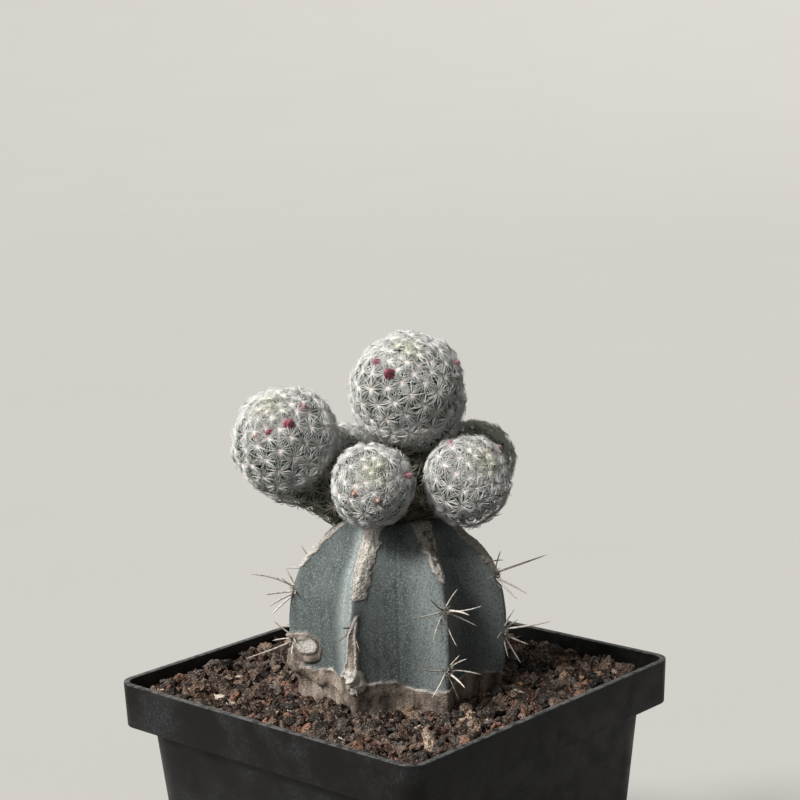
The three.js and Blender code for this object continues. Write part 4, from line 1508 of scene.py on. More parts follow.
@dataclass
class StockSpines:
    """The long spines of the stock and the grey felt that they stand in."""

    stock: Stock
    # Rib bearing, height above the rim, and the cluster there.
    areoles: tuple[tuple[float, float, SpineSet], ...] = (
        (146, 19.5, SpineSet.HOOK), (146, 9.8, SpineSet.SPARSE), (198, 15.4, SpineSet.STUBS),
        (248, 18.3, SpineSet.WHEEL), (248, 6.7, SpineSet.FAN), (300, 21.2, SpineSet.LANCE),
        (300, 9.8, SpineSet.SPRAY), (350, 18.6, SpineSet.FAN), (350, 7.4, SpineSet.WHEEL),
        (42, 20.2, SpineSet.HOOK), (42, 8.8, SpineSet.FAN), (94, 18.9, SpineSet.WHEEL),
        (94, 8.1, SpineSet.SPARSE), (198, 4.9, SpineSet.KNOB),
    )
    root_radius: float = 0.24
    # A spine that reaches out less than the central ones is thinner by this share.
    central: float = 4.0
    thin_share: float = 0.7
    sink: float = 0.7
    root_spread: float = 0.45
    bend: float = 0.035
    # Tones from dark to pale, and the share of dark spines where a cluster isn't all dark.
    dark_share: float = 0.12
    dark_tones: tuple[float, float] = (0.0, 0.35)
    pale_tones: tuple[float, float] = (0.65, 1.0)
    # Heights of the rings of a spine and of a hair of felt, as shares of its length.
    spine_cuts: tuple[float, ...] = (0.2, 0.45, 0.7, 0.9, 0.97)
    felt_cuts: tuple[float, ...] = (0.5,)
    felt_hairs: int = 46
    felt_length: float = 0.75
    felt_radius: float = 0.085
    felt_spread: tuple[float, float] = (0.1, 0.75)
    felt_bend: float = 0.12
    # The felt's patch is taller than it is wide, and its hairs start this far below the skin.
    felt_stretch: float = 1.25
    felt_sink: float = 0.3
    felt_lean: tuple[float, float] = (0.4, 1.0)
    felt_push: float = 0.3
    felt_tones: tuple[float, float] = (0.3, 1.0)
    seed: int = 21

    def build(self, material: bpy.types.Material) -> None:
        """Makes all spines as one piece and all felt as another.

        Args:
            material: The spines' material, which the felt shares.
        """
        draw = np.random.default_rng(self.seed)
        up = np.array([0, 0, 1.0])
        roots, tips, radii, tones, hair_roots, hair_tips = [], [], [], [], [], []
        for bearing, height, cluster in self.areoles:
            out, side = along_bearing(np.array([bearing, bearing + 90.0]))
            radius = float(self.stock.radius(np.array([bearing]), np.array([height]))[0])
            areole = self.stock.axis + out * radius + up * height
            for aside, rise, outward in cluster.value:
                way = side * aside + up * rise
                roots.append(areole + unit(way) * self.root_spread - out * self.sink)
                tips.append(areole + way + out * outward)
                radii.append(self.root_radius * (1.0 if outward > self.central else self.thin_share))
                dark = cluster in (SpineSet.KNOB, SpineSet.STUBS) or draw.random() < self.dark_share
                tones.append(draw.uniform(*(self.dark_tones if dark else self.pale_tones)))
            angle = draw.uniform(0, 2 * math.pi, self.felt_hairs)
            spread = draw.uniform(*self.felt_spread, self.felt_hairs)[:, None]
            around = side * np.cos(angle)[:, None] + up * self.felt_stretch * np.sin(angle)[:, None]
            start = areole + around * spread - out * self.felt_sink
            lean = draw.uniform(*self.felt_lean, self.felt_hairs)[:, None]
            way = out * lean + around * spread + self.felt_push * out
            hair_roots.append(start)
            hair_tips.append(start + self.felt_length * way)
        spines = curved_spines(
            "stock_spines", spine_template(8, self.spine_cuts), np.array(roots), np.array(tips),
            np.array(radii), self.bend * draw.standard_normal((len(roots), 3)),
        )
        set_mark(spines, "tone", np.repeat(tones, len(spines.data.vertices) // len(roots)))
        finish_piece(spines, Slot.SPINES, material)
        starts, ends = np.concatenate(hair_roots), np.concatenate(hair_tips)
        felt = curved_spines(
            "stock_felt", spine_template(3, self.felt_cuts), starts, ends,
            np.full(len(starts), self.felt_radius),
            self.felt_bend * draw.standard_normal((len(starts), 3)),
        )
        set_mark(felt, "tone", draw.uniform(*self.felt_tones, len(felt.data.vertices)))
        finish_piece(felt, Slot.CORK, material)


def curved_spines(
    name: str, template: Template, roots: np.ndarray, tips: np.ndarray, radii: np.ndarray,
    bends: np.ndarray,
) -> bpy.types.Object:
    """Copies a spine from each root to its tip, gently bent.

    Args:
        name: The piece's name.
        template: A spine along Z.
        roots: Where the spines start.
        tips: Where they end.
        radii: Their radii at the root.
        bends: How far their middles lie off the straight line, as a share of their length.

    Returns:
        One object with a way mark that runs from root to tip.
    """
    way = tips - roots
    length = np.linalg.norm(way, axis=1, keepdims=True)
    first, second = cross_axes(way / length)
    share, turn = template.points[:, 2], template.turns()
    taper = 1 - 0.4 * share - 0.6 * share**12
    bow = 4 * share * (1 - share)
    points = roots[:, None] + way[:, None] * share[None, :, None]
    points = points + (bends * length)[:, None] * bow[None, :, None]
    # The template's rings lie across each spine, turned by half a turn.
    offset = turn[None, :, :1] * -first[:, None] + turn[None, :, 1:] * -second[:, None]
    points = points + offset * taper[None, :, None] * radii[:, None, None]
    item = loose_mesh(name, points.reshape(-1, 3), template.repeated(len(roots)), smooth=True)
    set_mark(item, "way", np.tile(share, len(roots)))
    return item


# The union


@dataclass
class GraftUnion:
    """The corky mound on top of the stock from which the heads grow."""

    outline: tuple[tuple[float, float], ...] = (
        (0, 33.3), (8.0, 33.3), (9, 34.4), (8.9, 35.4), (8.4, 36.8), (6.6, 38.8), (3.4, 40.1), (0, 40.6),
    )
    # The lumps' height and size. They start above the seat, over the heights in free, and push away
    # from the height in middle.
    relief: float = 0.55
    lump: float = 2.2
    free: tuple[float, float] = (33.3, 34.4)
    middle: float = 34.5
    columns: int = 80
    rows: int = 40

    def build(self, stock: Stock, material: bpy.types.Material) -> None:
        """Turns the outline and roughens it with lumps and cracks.

        Args:
            stock: The stock below it.
            material: Its cork.
        """
        radii, heights = np.array(self.outline).T
        steps = np.hypot(np.diff(radii), np.diff(heights))
        way = np.concatenate([[0], np.cumsum(steps)]) / steps.sum()

        def place(around: np.ndarray, along: np.ndarray) -> np.ndarray:
            """The turned outline with its lumps.

            Args:
                around: Shares of the way round.
                along: Shares of the way from the first end to the last.

            Returns:
                Their places in millimetres.
            """
            radius = np.interp(along, way, radii)
            height = np.interp(along, way, heights)
            spot = stock.axis + along_bearing(360 * around) * radius[:, None] + upward(height)
            lumps = self.relief * fractal_noise(spot, self.lump, 31, octaves=4)
            lumps = lumps * smoothstep(height, *self.free)
            outward = unit(spot - (stock.axis + np.array([0, 0, self.middle])))
            return spot + outward * np.where(radius > 0.01, lumps, 0)[:, None]

        item = wrapped_sheet("graft_cork", self.columns, self.rows, place)
        close_sheet(item)
        finish_piece(item, Slot.CORK, material, "graft_union")


# The heads


class BudKind(Enum):
    """How old a flower bud is, by the label of its piece."""

    FRESH = "buds"
    FADED = "faded_buds"
    WILTED = "wilted_buds"


@dataclass(frozen=True)
class Bud:
    """One flower bud: its bearing and elevation from the globe's middle, radius, rise and kind."""

    bearing: float
    elevation: float
    radius: float = 1.0
    rise: float = -0.1
    kind: BudKind = BudKind.FRESH


@dataclass(frozen=True)
class StarRule:
    """How tubercles and stars of spines cover a head."""

    spacing: float = 3.65
    # The sites end this far from the root, and stand closer together round the tip.
    neck_margin: float = 4.5
    apex_gap: float = 0.6
    crowding: float = 2.2
    crowded_radius: float = 6.0
    # The bare body lies this far inside the spines, and is full at its crown by this power.
    reach: float = 1.05
    crown: float = 2.2
    # The body's grid, the depth between tubercles, and the depth of the bare neck.
    cell: float = 0.46
    tubercle: float = 1.9
    bare_depth: float = 1.7
    bare_relief: float = 0.25
    bare_cell: float = 1.5
    # Shares of the spacing over which the skin falls off between two sites, falls off round one, and
    # turns bare, and runs from the tip over which the tubercles grow up.
    between: float = 0.72
    around: tuple[float, float] = (0.35, 0.7)
    bare: tuple[float, float] = (0.75, 1.2)
    young_body: tuple[float, float] = (1.0, 3.2)
    young_body_loss: float = 0.6
    # Runs from the tip over which stars grow up, and over which spines get old and fall, by the radius.
    young: tuple[float, float] = (0.4, 4.2)
    old: tuple[float, float] = (1.9, 2.8)
    missing: float = 0.3
    # Every second spine of a star is raised: it is shorter, steeper and falls more.
    spines: int = 36
    length: float = 3.15
    raised_loss: float = 0.16
    young_loss: float = 0.42
    spine_vary: tuple[float, float] = (0.86, 1.1)
    star_vary: tuple[float, float] = (0.92, 1.06)
    turn_vary: float = 0.32
    uneven: float = 0.28
    tilt: float = 0.05
    raised_tilt: float = 0.27
    young_tilt: float = 0.45
    tilt_vary: float = 0.1
    fall: float = 0.2
    raised_fall: float = 0.08
    swing: float = 0.1
    root_lift: float = 0.22
    root_radius: float = 0.083
    # How much thinner a spine is at its tip, and the heights of its rings as shares of its length.
    tip_loss: float = 0.7
    cuts: tuple[float, float] = (0.4, 0.75)
    # The woolly pad's half sizes, its lift, and the marks that give it its colour.
    pad: tuple[float, float, float] = (0.32, 0.32, 0.26)
    pad_lift: float = 0.18
    pad_way: float = 0.06
    pad_tone: float = 0.8
    # How far stars and spine tips keep out of the neighbouring heads.
    star_margin: float = 0.7
    tip_margin: float = 0.1


@dataclass(frozen=True)
class Sites:
    """Where stars stand: places, outward normals, and the run of each along the skin from the tip."""

    places: np.ndarray
    normals: np.ndarray
    runs: np.ndarray

    def chosen(self, kept: np.ndarray) -> "Sites":
        """Only the sites that are kept."""
        return Sites(self.places[kept], self.normals[kept], self.runs[kept])


@dataclass
class Head:
    """One globular head: a green body of tubercles with a star of white spines on each.

    The arrays are sampled along the middle line from the tip to the root, by the way along it.
    """

    name: str
    globe: tuple[float, float, float]
    axis: tuple[float, float, float]
    radius: float
    root: tuple[float, float, float]
    neck: float
    fullness: float
    buds: tuple[Bud, ...]
    finish: SpineFinish = SpineFinish()
    rule: StarRule = StarRule()
    # How long the neck's curve keeps the globe's direction, by its radius, and the root's, by its way.
    stem: tuple[float, float] = (0.9, 0.33)
    # How finely the globe's half, the neck's curve and the whole middle line are sampled.
    samples: tuple[int, int, int] = (260, 500, 900)
    origin: np.ndarray = field(init=False, repr=False)
    across: np.ndarray = field(init=False, repr=False)
    way: np.ndarray = field(init=False, repr=False)
    line: np.ndarray = field(init=False, repr=False)
    toward_tip: np.ndarray = field(init=False, repr=False)
    girth: np.ndarray = field(init=False, repr=False)
    slope: np.ndarray = field(init=False, repr=False)
    run: np.ndarray = field(init=False, repr=False)
    room: np.ndarray = field(init=False, repr=False)

    def prepare(self, origin: np.ndarray) -> None:
        """Samples the head's middle line and girth.

        Args:
            origin: The stock's axis at the height of the rim.
        """
        self.origin = origin
        middle, root = np.array(self.globe), np.array(self.root)
        axis = unit(np.array(self.axis))
        radius = self.radius - self.rule.reach
        tip = middle + axis * radius
        globe_hold, root_hold = self.stem
        globe_samples, neck_samples, samples = self.samples
        share = np.linspace(0, 1, neck_samples)[1:, None]
        weights = ((1 - share) ** 3, 3 * share * (1 - share) ** 2, 3 * share**2 * (1 - share), share**3)
        controls = (
            middle, middle - globe_hold * radius * axis, root + root_hold * (middle - root), root,
        )
        curve = sum(weight * control for weight, control in zip(weights, controls))
        line = np.vstack([np.linspace(tip, middle, globe_samples), curve])
        way = np.concatenate([[0], np.cumsum(np.linalg.norm(np.diff(line, axis=0), axis=1))])
        self.way = np.linspace(0, way[-1], samples)
        self.line = np.stack([np.interp(self.way, way, part) for part in line.T], axis=1)
        self.toward_tip = -unit(np.gradient(self.line, self.way, axis=0))
        self.across = unit(np.cross(axis, middle - root))
        run = (self.way - radius) / radius
        power = np.where(run < 0, self.rule.crown, self.fullness)
        ball = radius * np.maximum(0, 1 - np.abs(run) ** power) ** (1 / power)
        neck = self.neck * smoothstep(run, 0, 1)
        self.girth = (ball**4 + neck**4) ** 0.25
        self.slope = np.gradient(self.girth, self.way)
        self.run = np.concatenate([[0], np.cumsum(np.hypot(np.diff(self.way), np.diff(self.girth)))])
        self.room = np.hypot(self.way[:, None] - self.way[None], self.girth[None]).min(axis=1)

    def sampled(self, table: np.ndarray, way: np.ndarray) -> np.ndarray:
        """The rows of an array of places or directions at ways from the tip."""
        return np.stack([np.interp(way, self.way, part) for part in table.T], axis=1)

    def surface(self, way: np.ndarray, angle: np.ndarray) -> tuple[np.ndarray, np.ndarray]:
        """Places on the bare head and their outward normals, for ways from the tip and turns.

        Args:
            way: Millimetres along the middle line from the tip.
            angle: Turns about it in radians.

        Returns:
            The places, from the stock's axis, and the normals.
        """
        middle, tipward = self.sampled(self.line, way), unit(self.sampled(self.toward_tip, way))
        girth = np.interp(way, self.way, self.girth)[:, None]
        slope = np.interp(way, self.way, self.slope)[:, None]
        out = unit(np.cross(self.across, tipward))
        radial = out * np.cos(angle)[:, None] - self.across * np.sin(angle)[:, None]
        return middle + radial * girth, unit(radial + tipward * slope)

    def sites(self) -> Sites:
        """The areoles, in a golden-angle spiral that is crowded near the tip.

        Returns:
            Their places, normals and runs, from the tip on.
        """
        rule = self.rule
        last = np.interp(self.way[-1] - rule.neck_margin, self.way, self.run)
        run = np.linspace(0, last, 1500)
        girth = np.interp(run, self.run, self.girth)
        weight = girth * (1 + rule.crowding * np.exp(-((run / rule.crowded_radius) ** 2)))
        total = np.concatenate([[0], np.cumsum((weight[1:] + weight[:-1]) / 2 * np.diff(run))])
        count = round(2 * math.pi * total[-1] / (rule.spacing**2 * math.sqrt(3) / 2))
        order = np.arange(count)
        runs = np.interp((order + 0.5) / count * total[-1], total, run)
        return Sites(*self.surface(np.interp(runs, self.run, self.way), order * GOLDEN_ANGLE), runs)

    def inside_of(self, points: np.ndarray, margin: float) -> np.ndarray:
        """Whether places, from the stock's axis, lie within a margin of this head's bare body.

        Args:
            points: Places, one row each, in millimetres.
            margin: Millimetres.

        Returns:
            True for each place that lies within.
        """
        inside = np.zeros(len(points), bool)
        for middle, room in zip(self.line[::12], self.room[::12]):
            inside |= np.sum((points - middle) ** 2, axis=1) < (room + margin) ** 2
        return inside

    def reach_along(self, ways: np.ndarray) -> np.ndarray:
        """How far the bare body reaches from the middle of its globe along each direction.

        Args:
            ways: Directions of length one, one row each.

        Returns:
            A distance for each one.
        """
        steps = np.linspace(0.5, 1.3, 160) * self.radius
        spots = np.array(self.globe) + ways[:, None] * steps[None, :, None]
        inside = self.inside_of(spots.reshape(-1, 3), 0).reshape(len(ways), -1)
        return (inside * steps).max(axis=1)

    def body(self, sites: np.ndarray, material: bpy.types.Material) -> None:
        """Makes the body from a fine grid wrapped round the middle line.

        Args:
            sites: The places of the tubercles' tips.
            material: The flesh.
        """
        rule, run = self.rule, self.run
        around, bare = (np.array(shares) * rule.spacing for shares in (rule.around, rule.bare))
        rows = int(run[-1] / rule.cell)
        columns = int(2 * math.pi * self.girth.max() / rule.cell)
        marks: dict[str, np.ndarray] = {}

        def place(turn: np.ndarray, along: np.ndarray) -> np.ndarray:
            """The bare body with its tubercles.

            Args:
                turn: Shares of the way round.
                along: Shares of the way from the first end to the last.

            Returns:
                Their places in millimetres.
            """
            row = along * rows
            share = np.clip(row / (rows - 1), 0, 1)
            way = np.interp(share * run[-1], run, self.way)
            points, normals = self.surface(way, 2 * math.pi * turn)
            gaps = np.sqrt(((points[:, None] - sites[None]) ** 2).sum(axis=2))
            nearest = np.partition(gaps, 1, axis=1)
            hollow = 1 - smoothstep(nearest[:, 1] - nearest[:, 0], 0.0, rule.between * rule.spacing)
            far = smoothstep(nearest[:, 0], *around)
            young = 1 - smoothstep(share * run[-1], *rule.young_body)
            depth = np.maximum(hollow, far) * (1 - rule.young_body_loss * young)
            neck = smoothstep(nearest[:, 0], *bare)
            marks["depth"], marks["neck"] = depth, neck
            sunk = rule.tubercle * depth + (rule.bare_depth - rule.tubercle) * neck
            rough = rule.bare_relief * fractal_noise(points, rule.bare_cell, 41) * neck
            moved = points - normals * (sunk - rough)[:, None]
            end = row > rows - 0.5
            moved[end] = self.line[-1]
            tip = row < 0.5
            moved[tip] = moved[tip].mean(axis=0)
            return self.origin + moved

        item = wrapped_sheet(f"{self.name}_body", columns, rows, place)
        for name, values in marks.items():
            set_mark(item, name, values)
        close_sheet(item)
        finish_piece(item, Slot.SPINES, material, self.name)

    def spine_lines(
        self, places: np.ndarray, normals: np.ndarray, youth: np.ndarray, spine: Template,
        draw: np.random.Generator,
    ) -> tuple[np.ndarray, np.ndarray]:
        """Bends the spines of each star down round its tubercle.

        Args:
            places: The middles of the stars.
            normals: Their outward normals.
            youth: How young each star is, from 0 to 1, as a column.
            spine: The spine's template.
            draw: The random source.

        Returns:
            The places of the spines' points, and those where straight spines would end.
        """
        rule, count = self.rule, len(places)
        shape = (count, rule.spines)
        first, second = cross_axes(normals)
        order = np.arange(rule.spines)[None]
        raised = order % 2
        angle = 2 * math.pi / rule.spines * (order + draw.uniform(-rule.turn_vary, rule.turn_vary, shape))
        angle = angle + draw.uniform(0, 2 * math.pi, (count, 1))
        tilt = rule.tilt + rule.raised_tilt * raised + rule.young_tilt * youth**2
        tilt = tilt + rule.tilt_vary * draw.standard_normal(shape)
        length = rule.length * (1 - rule.raised_loss * raised) * (1 - rule.young_loss * youth)
        length = length * draw.uniform(*rule.spine_vary, shape) * draw.uniform(*rule.star_vary, (count, 1))
        fall = (rule.fall + rule.raised_fall * raised) * (1 - 0.5 * youth) * length
        swing = rule.swing * length * draw.standard_normal(shape)
        way = first[:, None] * np.cos(angle)[..., None] + second[:, None] * np.sin(angle)[..., None]
        side = np.cross(normals[:, None], way)
        up = np.broadcast_to(normals[:, None], way.shape)
        share = spine.points[:, 2][None, None, :, None]
        level = (length * np.cos(tilt))[..., None, None] * share
        height = (length * np.sin(tilt))[..., None, None] * share - fall[..., None, None] * share**2
        line = places[:, None, None] + way[:, :, None] * level + up[:, :, None] * (height + rule.root_lift)
        line = line + side[:, :, None] * (swing[..., None, None] * share**2)
        turn = spine.turns()[None, None]
        thick = rule.root_radius * (1 - rule.tip_loss * spine.points[:, 2] ** 1.5)
        offset = side[:, :, None] * turn[..., :1] + up[:, :, None] * turn[..., 1:]
        tips = places[:, None] + way * (length * np.cos(tilt))[..., None]
        return line + offset * thick[None, None, :, None], tips

    def pads(
        self, places: np.ndarray, normals: np.ndarray, youth: np.ndarray, pad: Template
    ) -> np.ndarray:
        """The points of a small flat pad of wool on each place, larger where the star is young.

        Args:
            places: The middles of the stars.
            normals: Their outward normals.
            youth: How young each star is, as a column.
            pad: The pad's template.

        Returns:
            The points of all pads, one row each.
        """
        first, second = cross_axes(normals)
        flat = pad.points[None] * np.array(self.rule.pad) * (1 + 0.5 * youth[..., None])
        turned = first[:, None] * flat[..., :1] + second[:, None] * flat[..., 1:2]
        turned = turned + normals[:, None] * flat[..., 2:]
        return (turned + places[:, None] + self.rule.pad_lift * normals[:, None]).reshape(-1, 3)

    def stars(
        self, sites: Sites, others: Sequence["Head"], spine: Template, pad: Template,
        material: bpy.types.Material, seed: int,
    ) -> None:
        """Makes a star of curved spines and a small woolly pad on each site.

        Args:
            sites: Where the stars stand.
            others: The neighbouring heads, which the spines keep out of.
            spine: The spine's template.
            pad: The pad's template.
            material: The spines' material.
            seed: Seeds this head's random draws.
        """
        rule, draw = self.rule, np.random.default_rng(seed)
        crowded = np.any([other.inside_of(sites.places, rule.star_margin) for other in others], axis=0)
        sites = sites.chosen(~crowded & (sites.runs > rule.apex_gap))
        normals, count = sites.normals, len(sites.places)
        places = sites.places + normals * (rule.uneven * draw.standard_normal((count, 1)))
        youth = 1 - smoothstep(sites.runs, *rule.young)
        age = smoothstep(sites.runs / self.radius, *rule.old)
        lines, tips = self.spine_lines(places, normals, youth[:, None], spine, draw)
        blocked = [other.inside_of(tips.reshape(-1, 3), rule.tip_margin) for other in others]
        grown = draw.random(count * rule.spines) > rule.missing * np.repeat(age, rule.spines)
        kept = ~np.any(blocked, axis=0) & grown
        points = lines.reshape(len(kept), -1, 3)[kept]
        pads = self.pads(places, normals, youth[:, None], pad)

        def spread(values: np.ndarray) -> np.ndarray:
            """A value of each star on the points of its spines and of its pad."""
            on_spines = np.repeat(np.repeat(values, rule.spines)[kept], len(spine.points))
            return np.concatenate([on_spines, np.repeat(values, len(pad.points))])

        tone = np.repeat(draw.uniform(0, 1, len(points)), len(spine.points))
        way = np.tile(spine.points[:, 2], len(points))
        everything = np.vstack([points.reshape(-1, 3), pads]) + self.origin
        triangles = np.vstack([
            spine.repeated(len(points)), pad.repeated(count) + len(points) * len(spine.points),
        ])
        item = loose_mesh(f"{self.name}_spines", everything, triangles, smooth=True)
        set_mark(item, "way", np.concatenate([way, np.full(len(pads), rule.pad_way)]))
        set_mark(item, "youth", spread(youth))
        set_mark(item, "age", spread(age))
        set_mark(item, "tone", np.concatenate([tone, np.full(len(pads), rule.pad_tone)]))
        finish_piece(item, Slot.SPINES, material)

    def flower_buds(self, bud: Template, materials: dict[BudKind, bpy.types.Material]) -> None:
        """Makes the buds that push out between the stars, each kind as a piece of its own.

        Args:
            bud: The bud's template.
            materials: The material of each kind.
        """
        for kind, material in materials.items():
            chosen = [b for b in self.buds if b.kind is kind]
            if not chosen:
                continue
            level = np.cos(np.radians([b.elevation for b in chosen]))[:, None]
            out = along_bearing(np.array([b.bearing for b in chosen], float)) * level
            out[:, 2] = np.sin(np.radians([b.elevation for b in chosen]))
            size = np.array([b.radius for b in chosen])[:, None, None]
            first, second = cross_axes(out)
            seat = self.reach_along(out) + np.array([b.rise for b in chosen])
            place = np.array(self.globe) + out * seat[:, None]
            shape = bud.points[None] * size
            spots = first[:, None] * shape[..., :1] + second[:, None] * shape[..., 1:2]
            spots = (spots + out[:, None] * shape[..., 2:] + place[:, None]).reshape(-1, 3) + self.origin
            item = loose_mesh(f"{self.name}_{kind.value}", spots, bud.repeated(len(chosen)), smooth=True)
            low, high = bud.points[:, 2].min(), bud.points[:, 2].max()
            set_mark(item, "way", np.tile((bud.points[:, 2] - low) / (high - low), len(chosen)))
            set_mark(item, "fold", np.tile(bud_folds(bud.points), len(chosen)))
            finish_piece(item, Slot.SPINES, material)


# The bud's shape: how much its top is slimmer and its folds are deeper, its height by its radius,
# and the length of the point at its tip.
BUD_SLIM = 0.35
BUD_FOLD = 0.13
BUD_HEIGHT = 1.35
BUD_POINT = 0.35


def bud_folds(points: np.ndarray) -> np.ndarray:
    """How deep each place of a bud lies in the folds between its scales."""
    angle = np.arctan2(points[:, 1], points[:, 0])
    return np.abs(np.cos(2.5 * angle + 1.3 * points[:, 2])) ** 8


def bud_template() -> Template:
    """A pointed bud of overlapping scales, about one unit in radius.

    Returns:
        The bud's template, which points along Z.
    """
    deselect_all()
    bpy.ops.mesh.primitive_uv_sphere_add(segments=20, ring_count=12, radius=1)
    item = bpy.context.object
    points = read_points(item)
    share = (points[:, 2] + 1) / 2
    slim = 1 - BUD_SLIM * share**2.2
    tight = 1 - BUD_FOLD * bud_folds(points)
    points[:, :2] *= (slim * tight)[:, None]
    points[:, 2] = BUD_HEIGHT * points[:, 2] + BUD_POINT * share**6
    item.data.vertices.foreach_set("co", points.ravel())
    return Template(item)


HEADS = (
    Head(
        "head_top", (0.8, -3.8, 57.8), (-0.41, -0.33, 0.85), 11.7, (0, 0, 36.5), 6.2, 2.8,
        (
            Bud(202, 27.5, 1.35, 0.3), Bud(296, 31, 1.25, -0.4, BudKind.FADED),
            Bud(180, 39, 1.1, -0.1, BudKind.FADED),
        ),
    ),
    Head(
        "head_left", (-14.5, 14.6, 48.2), (-0.55, -0.19, 0.81), 11.2, (-3, 4, 34.5), 6.5, 2.2,
        (
            Bud(229, 31, 1.3, 0.2), Bud(206, 22, 1.1), Bud(256, 50, 1.1, -0.3, BudKind.FADED),
            Bud(190, 17, 0.95, -0.3, BudKind.WILTED),
        ),
    ),
    Head(
        "head_front", (-13.8, -7.1, 42.2), (-0.57, -0.62, 0.54), 8.4, (-1, -0.5, 35.3), 3.3, 2.1,
        (
            Bud(284, 19, 1.1, 0.1, BudKind.FADED), Bud(199, 2, 1.0, -0.05, BudKind.WILTED),
            Bud(230, -6, 1.05, 0.0, BudKind.WILTED),
        ),
    ),
    Head(
        "head_right", (1.9, -17.1, 41.6), (-0.23, -0.78, 0.59), 8.9, (0, -1, 35.3), 3.3, 2.1,
        (Bud(154, 68, 1.1, -0.5, BudKind.FADED), Bud(315, 44, 1.2, -0.2, BudKind.FADED)),
    ),
    Head(
        "head_back_right", (17.6, -6, 41.6), (0.72, -0.2, 0.66), 8.2, (1, -0.5, 35.3), 3.3, 2.2,
        (Bud(352, 30), Bud(30, 48, 0.85)),
        # This head lies in the top head's shadow: its greyer, greener spines are painted shade.
        SpineFinish("shaded head spines", (0.62, 0.63, 0.53), (0.74, 0.78, 0.67)),
    ),
    Head(
        "head_back_left", (2.5, 15.5, 42.8), (0.15, 0.6, 0.79), 6.6, (0.5, 1, 35.3), 3, 2.2,
        (Bud(75, 35, 0.85),),
    ),
)


# The soil


@dataclass(frozen=True)
class GrainRule:
    """A kind of grain: its piece, share of all, smallest and largest radius, and flatness."""

    piece: str
    share: float
    smallest: float
    largest: float
    flatness: float


class GrainKind(Enum):
    """Kinds of soil grain."""

    LOAM = GrainRule("soil_loam", 0.50, 0.31, 1.6, 0.8)
    LAVA = GrainRule("soil_lava", 0.19, 0.31, 1.5, 0.85)
    CLAY = GrainRule("soil_clay", 0.23, 0.30, 1.35, 0.8)
    PUMICE = GrainRule("soil_pumice", 0.08, 0.25, 1.0, 0.75)


@dataclass(frozen=True)
class Chip:
    """A single grain of note: its place, half sizes, bearing, kind and tone."""

    x: float
    y: float
    sizes: tuple[float, float, float]
    bearing: float
    kind: GrainKind
    tone: float


